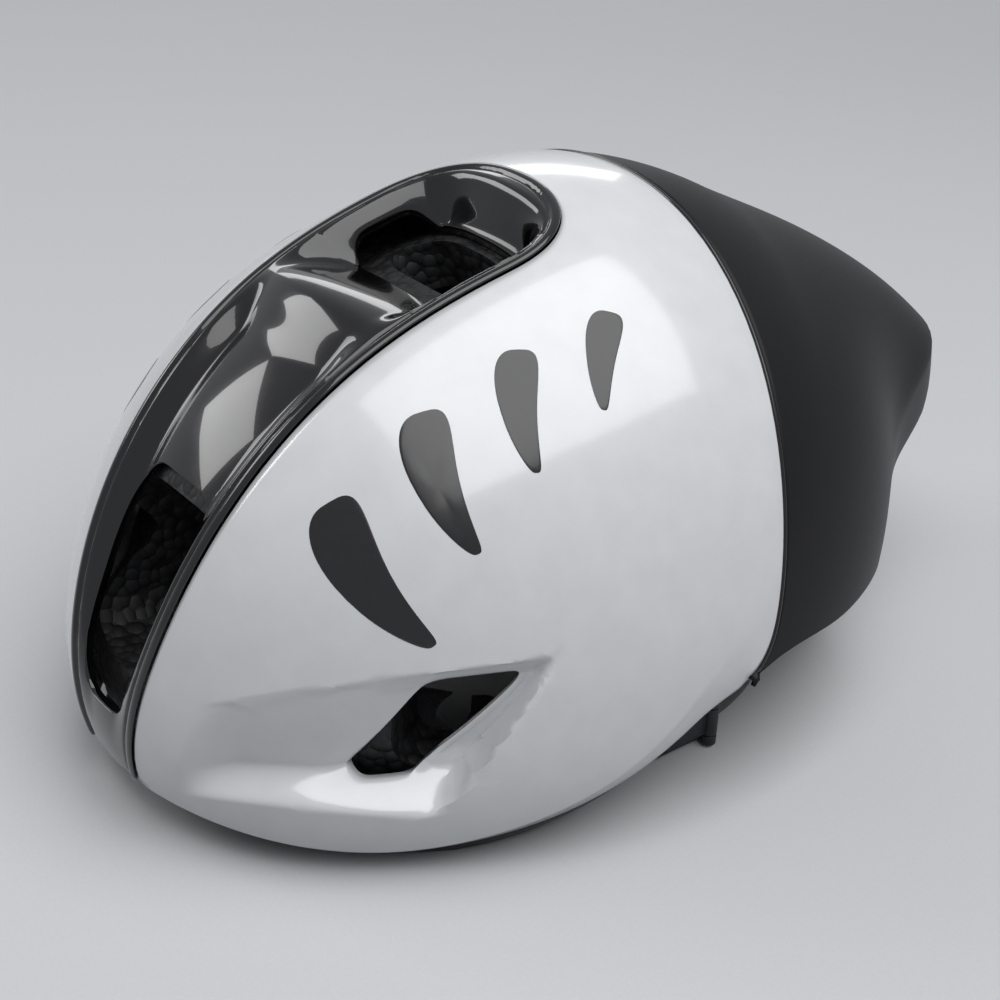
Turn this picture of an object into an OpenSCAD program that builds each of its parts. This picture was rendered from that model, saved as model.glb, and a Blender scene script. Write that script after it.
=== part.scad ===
// Aero road bike helmet, standing on its rim.
// X is sideways (+X is the wearer's left), -Y is forward, +Z is up, and z = 0 is the table.
// Directions from the centre point use two angles: theta turns in the side plane, from 0
// at the front over 90 at the top to 180 at the back, and phi leans sideways from it.

/* [Outer shape] */
// Half of the greatest width
half_width = 103; // [98:1:108]
// Height of the centre point above the table
centre_z = 34; // [31:0.5:37]
// How far the centre point lies behind the middle of the length
centre_y = 1.75; // [-2:0.25:4]
// Distance from the centre point to the front tip
front_reach = 148; // [142:1:152]
// Distance from the centre point to the brow, 30 degrees up
brow_reach = 140; // [134:1:143]
// Distance from the centre point to the forehead, 50 degrees up
forehead_reach = 132; // [127:1:135]
// Distance from the centre point to the crown
crown_reach = 124; // [120:1:128]
// Distance from the centre point to the back of the head
back_reach = 124; // [119:0.5:127]
// Distance from the centre point to the nape
nape_reach = 110; // [108:1:115]
// Squareness of the sections: 2 is an ellipse
squareness = 2.07; // [2:0.01:2.2]

/* [Tail wedge] */
// How far the wedge stands out of the rounded back
tail_rise = 37; // [30:1:39]
// Angle at which the wedge's roof starts
tail_start = 118; // [112:1:124]
// Angle of the wedge's rear edge at the middle
tail_edge = 157; // [153:1:160]
// Angle by which that edge is lower at its corners
tail_droop = 5.5; // [0:0.5:7]
// Sideways angle of the wedge's corners
tail_corner = 22.5; // [18:0.5:24]

/* [Rim] */
// Height of the rim at the front tip
brow_rim = 16; // [12:0.5:20]
// Lowest height of the rim beside the brow
side_rim = 4; // [3:0.5:7]
// Height of the arch above the ears
ear_rim = 46; // [40:1:50]
// Height of the two lobes beside the nape
lobe_rim = 3.5; // [2.5:0.5:7]
// Height of the arch above the dial
nape_rim = 38; // [32:1:42]
// Depth of the rim trim below the shell's edge
trim_depth = 5; // [4.8:0.1:6]

/* [Skins] */
// Thickness of the outer shells
skin = 1.6; // [1:0.1:2.2]
// Distance that the shell's edge is tucked in below its lower crease
tuck = 3.5; // [1:0.5:5]
// Gap between two neighbouring skins
seam_gap = 0.5; // [0.3:0.1:1]

/* [Centre spine] */
// Half-width of the spine at its widest
spine_half = 34.5; // [30:0.5:38]
// Angle at which the spine's rounded end lies
spine_end = 86; // [82:1:88]
// Depth of the channel in the spine
channel_depth = 6; // [2:0.5:8]
// Depth of the scoop in front of the top opening
scoop_depth = 14; // [8:1:16]
// Lower and upper angle of the front slot
slot_low = 0; // [-2:1:6]
slot_high = 27; // [20:1:30]
// Front and rear angle of the top opening
scoop_front = 62; // [58:1:66]
scoop_rear = 78; // [74:1:80]
// Share of the spine's width that its front slot takes
slot_share = 0.65; // [0.5:0.01:0.75]
// Share of the spine's width that its top opening takes
scoop_share = 0.8; // [0.6:0.01:0.84]

/* [Side vents] */
// Depth of the side recess
recess_depth = 9; // [5:0.5:11]
// Height of the recess's upper crease at its rear end
crease_top = 66.5; // [62:0.5:69]
// Place of the crease's rear end, ahead of the middle of the length
crease_rear = 66; // [61:0.5:69]
// Length of the recess from its rear end to its front end
recess_length = 69; // [60:1:72]
// Height of the middle of the vent
vent_z = 46; // [43:0.5:48]
// Place of the middle of the vent, ahead of the middle of the length
vent_ahead = 91; // [88:0.25:93]
// Height of the vent
vent_h = 32; // [24:1:34]
// Length of the vent at its middle
vent_l = 17.5; // [14:0.5:19]

/* [Head room] */
// Half-width of the head cavity
head_half = 80; // [76:1:83]
// Length of the head cavity ahead of the centre point
head_front = 108; // [102:1:112]
// Length of the head cavity behind the centre point
head_back = 92; // [88:1:95]
// Height of the head cavity above the centre point
head_top = 92; // [86:1:98]
// Thickness of the foam pads
pad_t = 7; // [4:0.5:10]
// Thickness of the hook dots that hold the pads
dot_t = 1; // [0.6:0.1:1.6]
// Diameter of the hook dots
dot_d = 10; // [8:1:12]

/* [Fit system] */
// Height of the dial's axis
dial_z = 30; // [28:0.5:32]
// Diameter of the dial
dial_d = 28; // [22:1:30]
// Width of the grip of the dial
dial_w = 10; // [8:0.5:11]
// Depth of the hollow in the foam behind the dial
dial_room = 4; // [2:0.5:6]
// Number of teeth of the pinion, of module 1
pinion_teeth = 12; // [12:2:14]
// Travel of each arm
arm_travel = 8; // [4:1:8]
// Thickness of the arms
arm_t = 2.3; // [1.6:0.1:2.5]
// Height of the arms' bands
band_h = 18; // [14:1:19]
// Half of the cover's length
cover_half = 20; // [18:1:20]
// Travel of the cradle on its rail
cradle_travel = 10; // [4:1:10]
// Width and thickness of the rail
rail_w = 10; // [8:0.5:12]
rail_t = 2.6; // [2:0.1:3]

/* [Straps] */
// Width of the webbing
web_w = 14; // [12:0.5:15]
// Thickness of the webbing
web_t = 1.6; // [1:0.1:2]
// Height of the webbing's middle line
web_z = 9; // [8.5:0.5:10]
// Thickness of the buckle
buckle_t = 8; // [7.5:0.5:9]
// Height of the buckle
buckle_h = 16.4; // [15.5:0.1:17]
// Height and length of the strap dividers
divider_h = 16; // [14:0.5:16.5]
divider_l = 22; // [18:1:26]
// Diameter of the lever pins
pin_d = 2.4; // [2:0.1:3]

/* [Clearances] */
// Gap between parts that slide on each other
slide_gap = 0.3; // [0.2:0.05:0.4]
// Radial clearance of a pin that turns in a bore
bore_gap = 0.05; // [0.03:0.01:0.08]
// Gap between soft parts and what they rest on
soft_gap = 0.4; // [0.3:0.05:0.6]

/* [Hidden] */
$fn = 48;
centre = [0, centre_y, centre_z];

// Radii of the centre profile, one each 20 degrees from 50 degrees below the front
profile = [
    front_reach - 56, front_reach - 32.5, front_reach + 4, front_reach - 1.5, brow_reach,
    forehead_reach, crown_reach - 0.5, crown_reach + 0.5, crown_reach, back_reach + 0.5,
    back_reach - 0.5, nape_reach + 3, nape_reach - 2, nape_reach - 9, nape_reach - 21
];
// Heights of the rim, one each 10 degrees round from the front to the nape
rim_heights = [
    brow_rim, brow_rim - 2.5, brow_rim - 8, side_rim, side_rim, side_rim + 4, side_rim + 10,
    ear_rim - 23, ear_rim - 11, ear_rim, ear_rim + 1, ear_rim - 3, ear_rim - 5, ear_rim - 9,
    ear_rim - 18, lobe_rim - 0.5, lobe_rim - 1, nape_rim - 8, nape_rim
];
// Half-widths of the spine, one each 25 degrees from 40 degrees below the front
spine_halves = [
    spine_half - 27, spine_half - 26, spine_half - 11, spine_half - 6, spine_half - 2,
    spine_half, spine_half
];

function clamp(x, low, high) = min(max(x, low), high);
function mix(a, b, t) = a + (b - a) * t;
function unit(v) = v / norm(v);
function flat(rows) = [for (row = rows) each row];
// A soft step from 0 to 1
function step(x) = let (u = clamp(x, 0, 1)) u * u * (3 - 2 * u);
// A uniform cubic B-spline whose first control value stands at x0
function spline(c, x, x0, dx) =
    let (u = clamp((x - x0) / dx, 1, len(c) - 2.001), i = floor(u), t = u - i)
    (c[i - 1] * pow(1 - t, 3) + c[i] * (3 * pow(t, 3) - 6 * t * t + 4)
    + c[i + 1] * (-3 * pow(t, 3) + 3 * t * t + 3 * t + 1)
    + c[min(i + 2, len(c) - 1)] * pow(t, 3)) / 6;

// The wedge's height above the rounded back: it rises along the roof, falls behind its
// edge and fades out past its corners
function tail(theta, phi) =
    let (rise = pow(clamp((theta - tail_start) / 40, 0, 1), 1.85),
         edge = tail_edge + tail_droop * min(pow(phi / 16, 2), 1.5),
         corner = mix(tail_corner + 14, tail_corner, step((theta - 105) / 50)))
    tail_rise * rise * (1 - step((theta - edge) / 15)) / (1 + pow(abs(phi) / corner, 5.5));

// The distance from the centre point to the outer skin: a superellipse between the
// profile and the half-width, with the wedge on top
function reach(theta, phi) =
    let (c = max(cos(phi), 0.0001) / spline(profile, theta, -50, 20),
         s = max(abs(sin(phi)), 0.0001) / half_width)
    pow(pow(c, squareness) + pow(s, squareness), -1 / squareness) + tail(theta, phi);

function aim(theta, phi) = [sin(phi), -cos(phi) * cos(theta), cos(phi) * sin(theta)];
function on_skin(a, off = 0) = centre + (reach(a[0], a[1]) + off) * aim(a[0], a[1]);
// The two angles of a direction, with theta between -90 and 270
function angles(d) =
    let (t = atan2(d.z, -d.y)) [t < -90 ? t + 360 : t, asin(clamp(d.x, -1, 1))];
// A direction by its turn from the front, towards the left, and its rise
function round_aim(turn, rise) =
    [cos(rise) * sin(turn), -cos(rise) * cos(turn), sin(rise)];
function rim_height(turn) =
    let (t = turn > 180 ? 360 - turn : abs(turn))
    spline([rim_heights[1], each rim_heights, rim_heights[17]], t, -10, 10);
// The rise at which the skin meets the rim's height, found by repeated correction
function rim_rise(turn, lift = 0, left = 4, rise = 0) =
    left == 0 ? rise :
    let (a = angles(round_aim(turn, rise)))
    rim_rise(turn, lift, left - 1,
             asin((rim_height(turn) + lift - centre_z) / reach(a[0], a[1])));
function rim_angles(turn) = angles(round_aim(turn, rim_rise(turn)));
// The distance from the centre point to the head cavity's wall
function head_reach(d) =
    let (along = d.y < 0 ? head_front : head_back)
    1 / norm([d.x / head_half, d.y / along, d.z / head_top]);

// Half of the spine's outline as q runs from the front tip, over its long side, round
// its corner and to the middle of its rear end
side_share = 0.75;
end_round = 16;
function spine_theta(q) =
    q < side_share
    ? mix(-7, spine_end - end_round, q / side_share)
    : mix(spine_end - end_round, spine_end, pow(sin(90 * (q - side_share) / (1 - side_share)), 0.77));
function spine_width(q) =
    let (w = spline(spine_halves, spine_theta(q), -40, 25))
    q < side_share ? w : w * pow(max(cos(90 * (q - side_share) / (1 - side_share)), 0), 0.77);
function spine_phi(q, inset = 0) =
    let (t = spine_theta(q), x = max(spine_width(q) - inset, 0), first = asin(x / reach(t, 12)))
    asin(x / reach(t, first));

// The rear seam runs straight up from near the ear and over the crown
seam_theta = 101;
ear_turn = 85.5;
tip_turn = 6.3;
ear = rim_angles(ear_turn);
function seam(u) =
    let (phi = ear[1] * sin(90 * u))
    [ear[0] + (seam_theta - ear[0]) * pow(max(1 - pow(sin(90 * u), 30), 0), 1 / 3), phi];

// The seam's line moved sideways on the skin, towards the back
function seam_beside(u, offset) =
    let (p = on_skin(seam(u)), ahead = on_skin(seam(min(u + 0.01, 1))) - on_skin(seam(u - 0.01)),
         n = unit(p - centre), aside = unit(cross(n, ahead)))
    angles(unit(p + offset * aside - centre));

// Depth of the side recess at a place on the skin: it deepens downwards from its crisp
// upper crease and ends at a rear wall, a front edge and a soft ledge
crease_drop = 15;
crease_bend = 2.7;
rear_lean = 0.72;
front_edge = 30;
front_lean = 0.24;
ledge_z = 25;
function recess(p) =
    let (along = clamp((-crease_rear - p.y) / recess_length, 0, 1.2),
         crease = crease_top - crease_drop * pow(along, crease_bend),
         rear = -crease_rear - rear_lean * (crease_top - p.z),
         front = front_edge + front_lean * (p.z - ledge_z),
         ledge = ledge_z - 5 * pow((abs(p.x) - 60) / 28, 2))
    recess_depth * clamp((crease - p.z) / 28, 0, 1) * step((rear - p.y) / 9)
    * step((abs(p.x) - front) / 12) * step((p.z - ledge) / 11);

// The vent's outline is a slanted superellipse in the side view
vent_lean = 0.64;
vent_flare = 0.12;
function vent_mid(z) = -vent_ahead + vent_lean * (z - vent_z);
function vent_half(z) = vent_l / 2 + vent_flare * (z - vent_z);

// A sheet with a thickness: outer and inner are grids of points, and keep says which
// cells are there. Walls close every edge that a kept cell has.
module sheet(outer, inner, keep, flip = false) {
    rows = len(outer);
    cols = len(outer[0]);
    n = rows * cols;
    points = flat(outer);
    function id(i, j) = i * cols + j;
    function kept(i, j) = i >= 0 && i < rows - 1 && j >= 0 && j < cols - 1 && keep[i][j];
    faces = [
        for (i = [0 : rows - 2], j = [0 : cols - 2]) if (kept(i, j))
        let (a = id(i, j), b = id(i, j + 1), c = id(i + 1, j + 1), d = id(i + 1, j),
             level = norm(points[a] - points[c]) < norm(points[b] - points[d]))
        each concat(
            level ? [[a, b, c], [a, c, d], [n + a, n + c, n + b], [n + a, n + d, n + c]]
            : [[a, b, d], [b, c, d], [n + a, n + d, n + b], [n + b, n + d, n + c]],
            kept(i - 1, j) ? [] : [[b, a, n + a], [b, n + a, n + b]],
            kept(i, j + 1) ? [] : [[c, b, n + b], [c, n + b, n + c]],
            kept(i + 1, j) ? [] : [[d, c, n + c], [d, n + c, n + d]],
            kept(i, j - 1) ? [] : [[a, d, n + d], [a, n + d, n + a]])
    ];
    polyhedron(concat(points, flat(inner)),
               flip ? [for (f = faces) [f[0], f[2], f[1]]] : faces, convexity = 10);
}

function all_cells(rows, cols) = [for (i = [1 : rows]) [for (j = [1 : cols]) true]];

// A skin through closed rings of points: joined end to end, or closed by flat ends
module loft(rings, ring = false) {
    n = len(rings);
    m = len(rings[0]);
    sides = [
        for (i = [0 : (ring ? n - 1 : n - 2)], j = [0 : m - 1])
        let (a = i * m + j, b = i * m + (j + 1) % m, k = ((i + 1) % n) * m)
        each [[a, k + (j + 1) % m, b], [a, k + j, k + (j + 1) % m]]
    ];
    ends = ring ? [] : [
        for (j = [1 : m - 2]) each [[0, j, j + 1], [(n - 1) * m, (n - 1) * m + j + 1, (n - 1) * m + j]]
    ];
    polyhedron(flat(rings), concat(sides, ends), convexity = 10);
}

module mirrored() {
    children();
    mirror([1, 0, 0]) children();
}

// A plate in the XZ plane with round corners, from y to y + t
module plate(x, y, z, w, t, h, r) {
    translate([x, y + t, z])
        rotate([90, 0, 0])
            linear_extrude(t) {
                square([w - 2 * r, h], center = true);
                square([w, h - 2 * r], center = true);
                for (i = [-1, 1], j = [-1, 1])
                    translate([i * (w / 2 - r), j * (h / 2 - r)])
                        circle(r);
            }
}

// A rod along Y from y0 to y1
module rod_y(x, z, y0, y1, d) {
    translate([x, y1, z])
        rotate([90, 0, 0])
            cylinder(h = y1 - y0, d = d);
}

// The spine's rows by share of its outline, with rows on the openings' edges
function q_at(theta) = side_share * (theta + 7) / (spine_end - end_round + 7);
q_rear = side_share + (1 - side_share) / 90
    * asin(pow((scoop_rear - spine_end + end_round) / end_round, 1 / 0.77));
spine_q = [
    0, q_at(slot_low) / 2, q_at(slot_low), each [for (k = [1 : 4]) q_at(mix(slot_low, slot_high, k / 5))],
    q_at(slot_high), each [for (k = [1 : 7]) q_at(mix(slot_high, scoop_front, k / 8))],
    q_at(scoop_front), (q_at(scoop_front) + side_share) / 2, side_share,
    (side_share + q_rear) / 2, q_rear, mix(q_rear, 1, 0.25), mix(q_rear, 1, 0.5), mix(q_rear, 1, 0.7),
    mix(q_rear, 1, 0.86)
];

// The crease above the tucked lower edge lies at this share of each column
crease_share = 0.9;
ear_share = 0.55;
ear_q = 0.62;
function s_at(q) = mix(ear_share, 1, (q - ear_q) / (1 - ear_q));
top_q = concat([for (q = spine_q) if (q > ear_q + 0.04) q], [1]);
// Columns of the upper shell, closer together round the vent, and at the top in line with
// the spine's rows
shell_s = [
    0, 0.04, 0.08, 0.115, 0.145, 0.17, each [0.19 : 0.0125 : 0.291], 0.31, 0.335, 0.37, 0.41,
    0.455, 0.505, ear_share, 0.59,
    each [
        for (i = [0 : len(top_q) - 2])
        each (top_q[i] > 0.85 ? [s_at(top_q[i]), s_at((top_q[i] + top_q[i + 1]) / 2)] : [s_at(top_q[i])])
    ],
    1
];
shell_t = [
    0, 0.1, 0.2, 0.3, 0.4, 0.48, 0.54, 0.59, 0.63, 0.67, 0.705, 0.735, 0.76, 0.78, 0.8, 0.82,
    0.845, 0.87, crease_share, 0.95, 1
];
function shell_inner(s) =
    let (q = s < ear_share ? ear_q * s / ear_share : mix(ear_q, 1, (s - ear_share) / (1 - ear_share)))
    [spine_theta(q), spine_phi(q, -seam_gap / 2)];
function shell_outer(s) =
    s < ear_share
    ? rim_angles(mix(tip_turn, ear_turn, s / ear_share))
    : seam(1 - (s - ear_share) / (1 - ear_share));
// How far the edge is drawn in past the crease, less along the rear seam
function shell_tuck(s, t) =
    step((t - crease_share) / (1 - crease_share) / 1.2 + 0.08)
    * mix(tuck, 0.2, step((s - ear_share + 0.05) / 0.08)) * (t > crease_share ? 1 : 0);
function shell_point(s, t, off) =
    let (a = mix(shell_inner(s), shell_outer(s), t), p = on_skin(a))
    on_skin(a, off - recess(p) - shell_tuck(s, t));
// A prism through both sides with the vent's outline
module vent_cutter() {
    outline = [
        for (k = [0 : 35])
        let (c = cos(10 * k), d = sin(10 * k), z = vent_z + vent_h / 2 * sign(d) * pow(abs(d), 0.4))
        [z, -vent_mid(z) - vent_half(z) * sign(c) * pow(abs(c), 0.4)]
    ];
    rotate([0, -90, 0])
        linear_extrude(4 * half_width, center = true)
            polygon([for (p = outline) [p[0], -p[1]]]);
}

module upper_shell() {
    half = len(shell_s);
    function whole(row) = concat(row, [for (j = [half - 2 : -1 : 0]) [-row[j].x, row[j].y, row[j].z]]);
    function grid(off) = [for (t = shell_t) whole([for (s = shell_s) shell_point(s, t, off)])];
    color("white")
        difference() {
            sheet(grid(0), grid(-skin), all_cells(len(shell_t) - 1, 2 * half - 2));
            vent_cutter();
        }
}

// Columns of the spine
spine_columns = [-7, -6.3, -5.5, -4.7, -4, -2.7, -1.3, 0, 1.3, 2.7, 4, 4.7, 5.5, 6.3, 7];
// A column's share of the half-width: 4 is the edge of the openings and 7 the spine's
function spine_share(theta, k) =
    let (open = mix(slot_share, scoop_share, step((theta - 30) / 28)), c = abs(k))
    sign(k) * (c < 4 ? open * c / 4 : mix(open, 1, (c - 4) / 3));
// Depth of the spine's middle below the skin along its length
function spine_depth(theta) =
    let (channel = channel_depth * step((theta - slot_low + 6) / 20) * (1 - step((theta - 44) / 10)),
         scoop = scoop_depth * step((theta - 52) / (scoop_front - 50))
                 * (1 - step((theta - scoop_rear) / 5)))
    channel + scoop;
// A small bead stands along the edge, and the middle sinks towards the depth
function spine_off(theta, k) =
    let (c = abs(k))
    c > 6.9 ? 0 : c > 6 ? 0.8 : -spine_depth(theta) * step((6 - c) / 2.2);

module centre_spine() {
    rows = len(spine_q);
    function grid(off) = [
        for (q = spine_q) [
            for (k = spine_columns)
            let (theta = spine_theta(q), phi = spine_share(theta, k) * spine_phi(q, seam_gap / 2))
            on_skin([theta, phi], off + spine_off(theta, k))
        ]
    ];
    keep = [
        for (i = [0 : rows - 2]) [
            for (j = [0 : len(spine_columns) - 2])
            let (theta = spine_theta((spine_q[i] + spine_q[i + 1]) / 2),
                 inner = abs(spine_columns[j] + spine_columns[j + 1]) / 2 < 4,
                 slot = theta > slot_low && theta < slot_high,
                 scoop = theta > scoop_front && theta < scoop_rear)
            !((slot || scoop) && inner)
        ]
    ];
    color([0.04, 0.04, 0.045]) sheet(grid(0), grid(-skin), keep, flip = true);
}

// Width of the bead in the seam
seam_w = 0.9;

// The rear shell's rows run from the seam to the rim, with two exhausts under the wedge
rear_u = [
    0.025, 0.055, 0.085, 0.115, 0.135, 0.152, 0.17, 0.19, 0.22, 0.26, 0.31, 0.38, 0.46, 0.55,
    0.65, 0.76, 0.88, 0.98
];
rear_v = [
    0, 0.1, 0.2, 0.3, 0.39, 0.47, 0.54, 0.6, 0.64, 0.67, 0.7, 0.725, 0.75, 0.775, 0.8, 0.825,
    0.85, 0.875, 0.9, 0.93, 0.965, 1
];
exhaust_v = [0.75, 0.875];
exhaust_u = [0.025, 0.115];
function rear_angles(u, v) =
    let (side = abs(u), from = seam_beside(side, seam_w + 1.5 * seam_gap),
         to = rim_angles(180 - (180 - ear_turn) * side), a = mix(from, to, v))
    [a[0], a[1] * sign(u)];
function rear_point(u, v, off) =
    on_skin(rear_angles(u, v), off - tuck * step((v - 0.9) / 0.1) * 0.7);

module rear_shell() {
    us = concat([for (k = [len(rear_u) - 1 : -1 : 0]) -rear_u[k]], rear_u);
    function grid(off) = [for (v = rear_v) [for (u = us) rear_point(u, v, off)]];
    function within(x, span) = x > span[0] && x < span[1];
    keep = [
        for (i = [0 : len(rear_v) - 2]) [
            for (j = [0 : len(us) - 2])
            !(within((rear_v[i] + rear_v[i + 1]) / 2, exhaust_v)
              && within(abs(us[j] + us[j + 1]) / 2, exhaust_u))
        ]
    ];
    color([0.07, 0.07, 0.075]) sheet(grid(0), grid(-skin), keep, flip = true);
}

// A glossy bead fills the seam between the upper and the rear shell
module seam_trim() {
    steps = 30;
    low = 0.5 * seam_gap;
    function bead(u, w, off) =
        let (a = seam_beside(abs(u), low + w * seam_w)) on_skin([a[0], a[1] * sign(u + 0.0001)], off);
    rings = [
        for (k = [-steps + 1 : steps - 1])
        [
            for (w = [[0, -skin], [1, -skin], [1, 0], [0.75, 0.35], [0.25, 0.35], [0, 0]])
            bead(k / steps, w[0], w[1])
        ]
    ];
    color([0.02, 0.02, 0.02]) loft(rings);
}

// The hollow behind the dial, which fades out at its sides and ends below the rail's foot
function dial_hollow(turn, share) =
    dial_room * step((15 - abs(turn - 180)) / 6) * step((0.25 - share) / 0.08);

// The rim trim closes the foam's lower edge all round, flat on the table where it is low
module rim_trim() {
    stations = 120;
    function rim_ring(turn) =
        let (rise = rim_rise(turn), a = angles(round_aim(turn, rise)), top = rim_height(turn) - 0.4,
             low = max(top + 0.4 - trim_depth, 0), aside = round_aim(turn, 0),
             out = (reach(a[0], a[1]) - tuck - skin - 0.3) * cos(rise),
             wall = head_reach(round_aim(turn, rise)) + dial_hollow(turn, 0),
             inside = wall * cos(rise) + 0.6,
             top_in = centre_z + wall * sin(rise) - 0.4)
        [
            for (w = [[out, top], [out - 1.2, (top + low) / 2], [out - 4, low], [inside + 3, low],
                      [inside + 0.4, (top_in + low) / 2], [inside, top_in]])
            [w[0] * aside.x, centre_y + w[0] * aside.y, w[1]]
        ];
    color([0.1, 0.1, 0.1]) loft([for (k = [0 : stations - 1]) rim_ring(360 * k / stations)], ring = true);
}

// How far the foam stays below the skin: under the spine's channel, behind the recess
// and inside the tail
function foam_gap(a, share) =
    let (w = spline(spine_halves, a[0], -40, 25) / reach(a[0], a[1]) * 180 / PI,
         over = 1 - step((abs(a[1]) / w - 1.15) / 0.8),
         front = a[0] < 100 ? 1 : 0,
         p = on_skin(a),
         side = 1 - step(max(abs(p.y + vent_ahead) - 38, 0) / 12 + max(abs(p.z - vent_z) - 26, 0) / 10))
    skin + 1.4 + front * over * max([for (k = [-8 : 4 : 8]) spine_depth(a[0] + k)])
    + side * (recess_depth + 1) + 0.2 * tail(a[0], a[1])
    + (tuck + 2) * pow(1 - clamp(share / 0.2, 0, 1), 2);

// The foam liner by turn from the front and share of the way up from the rim. Its wall is
// cut into six blocks below a crown, which touch each other.
liner_shares = [0, 0.04, 0.1, 0.17, 0.25, 0.33, 0.41, 0.49, 0.57, 0.66, 0.75, 0.86, 0.95];
wall_rows = 9;
function liner_rise(turn, share) = mix(rim_rise(turn, 0.6), 90, share);
function liner_outer(turn, share) =
    let (a = angles(round_aim(turn, liner_rise(turn, share))))
    on_skin(a, -foam_gap(a, share));
function liner_inner(turn, share) =
    let (d = round_aim(turn, liner_rise(turn, share)))
    centre + (head_reach(d) + dial_hollow(turn, share)) * d;
// The air passages through the foam: behind the slot, the top opening, the side vents and
// the exhausts
function liner_hole(turn, share) =
    let (t = turn > 180 ? 360 - turn : abs(turn))
    (t < 10 && share > 0.1 && share < 0.33) || (t < 33 && share > 0.75 && share < 0.86)
    || (t > 33 && t < 51 && share > 0.1 && share < 0.25)
    || (t > 165 && t < 177 && share > 0.1 && share < 0.33);
function liner_kept(turns, first, last) = [
    for (i = [first : last - 1]) [
        for (turn = turns)
        !liner_hole(turn + 3, (liner_shares[i] + liner_shares[i + 1]) / 2)
    ]
];
module liner_block(from, to) {
    turns = [from : 6 : to];
    rows = [for (i = [0 : wall_rows]) liner_shares[i]];
    color([0.12, 0.12, 0.13])
        sheet([for (w = rows) [for (turn = turns) liner_outer(turn, w)]],
              [for (w = rows) [for (turn = turns) liner_inner(turn, w)]],
              liner_kept(turns, 0, wall_rows), flip = true);
}
module eps_front() {
    liner_block(-57, 57);
}
module eps_side_left() {
    liner_block(57, 123);
}
module eps_side_right() {
    liner_block(237, 303);
}
module eps_rear_left() {
    liner_block(123, 165);
}
module eps_rear() {
    liner_block(165, 195);
}
module eps_rear_right() {
    liner_block(195, 237);
}
module eps_crown() {
    last = len(liner_shares) - 1;
    turns = [for (k = [0 : 59]) 6 * k + 3];
    rows = [for (i = [wall_rows : last]) liner_shares[i]];
    color([0.12, 0.12, 0.13])
        capped_sheet([for (w = rows) [for (turn = turns) liner_outer(turn, w)]],
                     [for (w = rows) [for (turn = turns) liner_inner(turn, w)]],
                     liner_kept(turns, wall_rows, last));
}

// A ring-shaped sheet that a cap closes at its last row
module capped_sheet(outer, inner, keep) {
    rows = len(outer);
    cols = len(outer[0]);
    n = rows * cols;
    function id(i, j) = i * cols + j % cols;
    function kept(i, j) = i >= 0 && i < rows - 1 && keep[i][(j + cols) % cols];
    cells = [
        for (i = [0 : rows - 2], j = [0 : cols - 1]) if (kept(i, j))
        let (a = id(i, j), b = id(i, j + 1), c = id(i + 1, j + 1), d = id(i + 1, j))
        each concat(
            [[a, c, b], [a, d, c], [n + a, n + b, n + c], [n + a, n + c, n + d]],
            kept(i - 1, j) ? [] : [[a, b, n + b], [a, n + b, n + a]],
            kept(i, j + 1) ? [] : [[b, c, n + b], [c, n + c, n + b]],
            kept(i + 1, j) || i == rows - 2 ? [] : [[c, d, n + c], [d, n + d, n + c]],
            kept(i, j - 1) ? [] : [[d, a, n + d], [a, n + a, n + d]])
    ];
    top = rows - 1;
    cap = [
        for (j = [0 : cols - 1])
        each [[id(top, j), 2 * n, id(top, j + 1)], [n + id(top, j), n + id(top, j + 1), 2 * n + 1]]
    ];
    function middle(row) = [for (p = row) 1] * row / len(row);
    polyhedron(concat(flat(outer), flat(inner), [middle(outer[top]), middle(inner[top])]),
               concat(cells, cap), convexity = 10);
}

// How far the hook dots stand off the wall, which is curved
dot_seat = 0.7;
function head_normal(d) =
    unit([d.x / pow(head_half, 2), d.y / pow(d.y < 0 ? head_front : head_back, 2), d.z / pow(head_top, 2)]);

// A foam pad against the head cavity's wall: crowned, with drawn-in sides between its
// corners and sewn channels across it
module pad(theta, phi, channels, nu, nv) {
    function place(u, v, depth) =
        let (pull = 1 - 0.06 * (1 - u * u), drawn = 1 - 0.08 * (1 - v * v),
             d = aim(mix(theta[0], theta[1], 0.5 + u * drawn / 2), mix(phi[0], phi[1], 0.5 + v * pull / 2)))
        centre + (head_reach(d) - depth) * d;
    function crown(u, v) =
        let (edge = (1 - pow(abs(u), 6)) * (1 - pow(abs(v), 6)),
             groove = min([for (c = channels) clamp(abs(v - c) / 0.09, 0, 1)]))
        pad_t * (0.22 + 0.78 * sqrt(max(edge, 0)) * (0.45 + 0.55 * groove));
    us = [for (i = [0 : nu]) -cos(180 * i / nu)];
    vs = [for (j = [0 : nv]) mix(-1, 1, j / nv)];
    back = dot_seat + dot_t + soft_gap;
    outer = [for (u = us) [for (v = vs) place(u, v, back)]];
    inner = [for (u = us) [for (v = vs) place(u, v, back + crown(u, v))]];
    sheet(outer, inner, all_cells(nu, nv), flip = true);
}

module brow_pad() {
    color([0.15, 0.15, 0.16]) pad([-6, 4], [-38, 38], [-0.5, 0, 0.5], 6, 24);
}
module crown_pad() {
    color([0.15, 0.15, 0.16]) pad([82, 114], [-9, 9], [0], 8, 10);
}
module side_pad_left() {
    color([0.15, 0.15, 0.16]) pad([52, 118], [33, 47], [0], 10, 8);
}
module side_pad_right() {
    color([0.15, 0.15, 0.16]) pad([52, 118], [-47, -33], [0], 10, 8);
}
module nape_pad() {
    color([0.15, 0.15, 0.16]) pad([121, 134], [-22, 22], [-0.4, 0.4], 6, 14);
}

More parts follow.
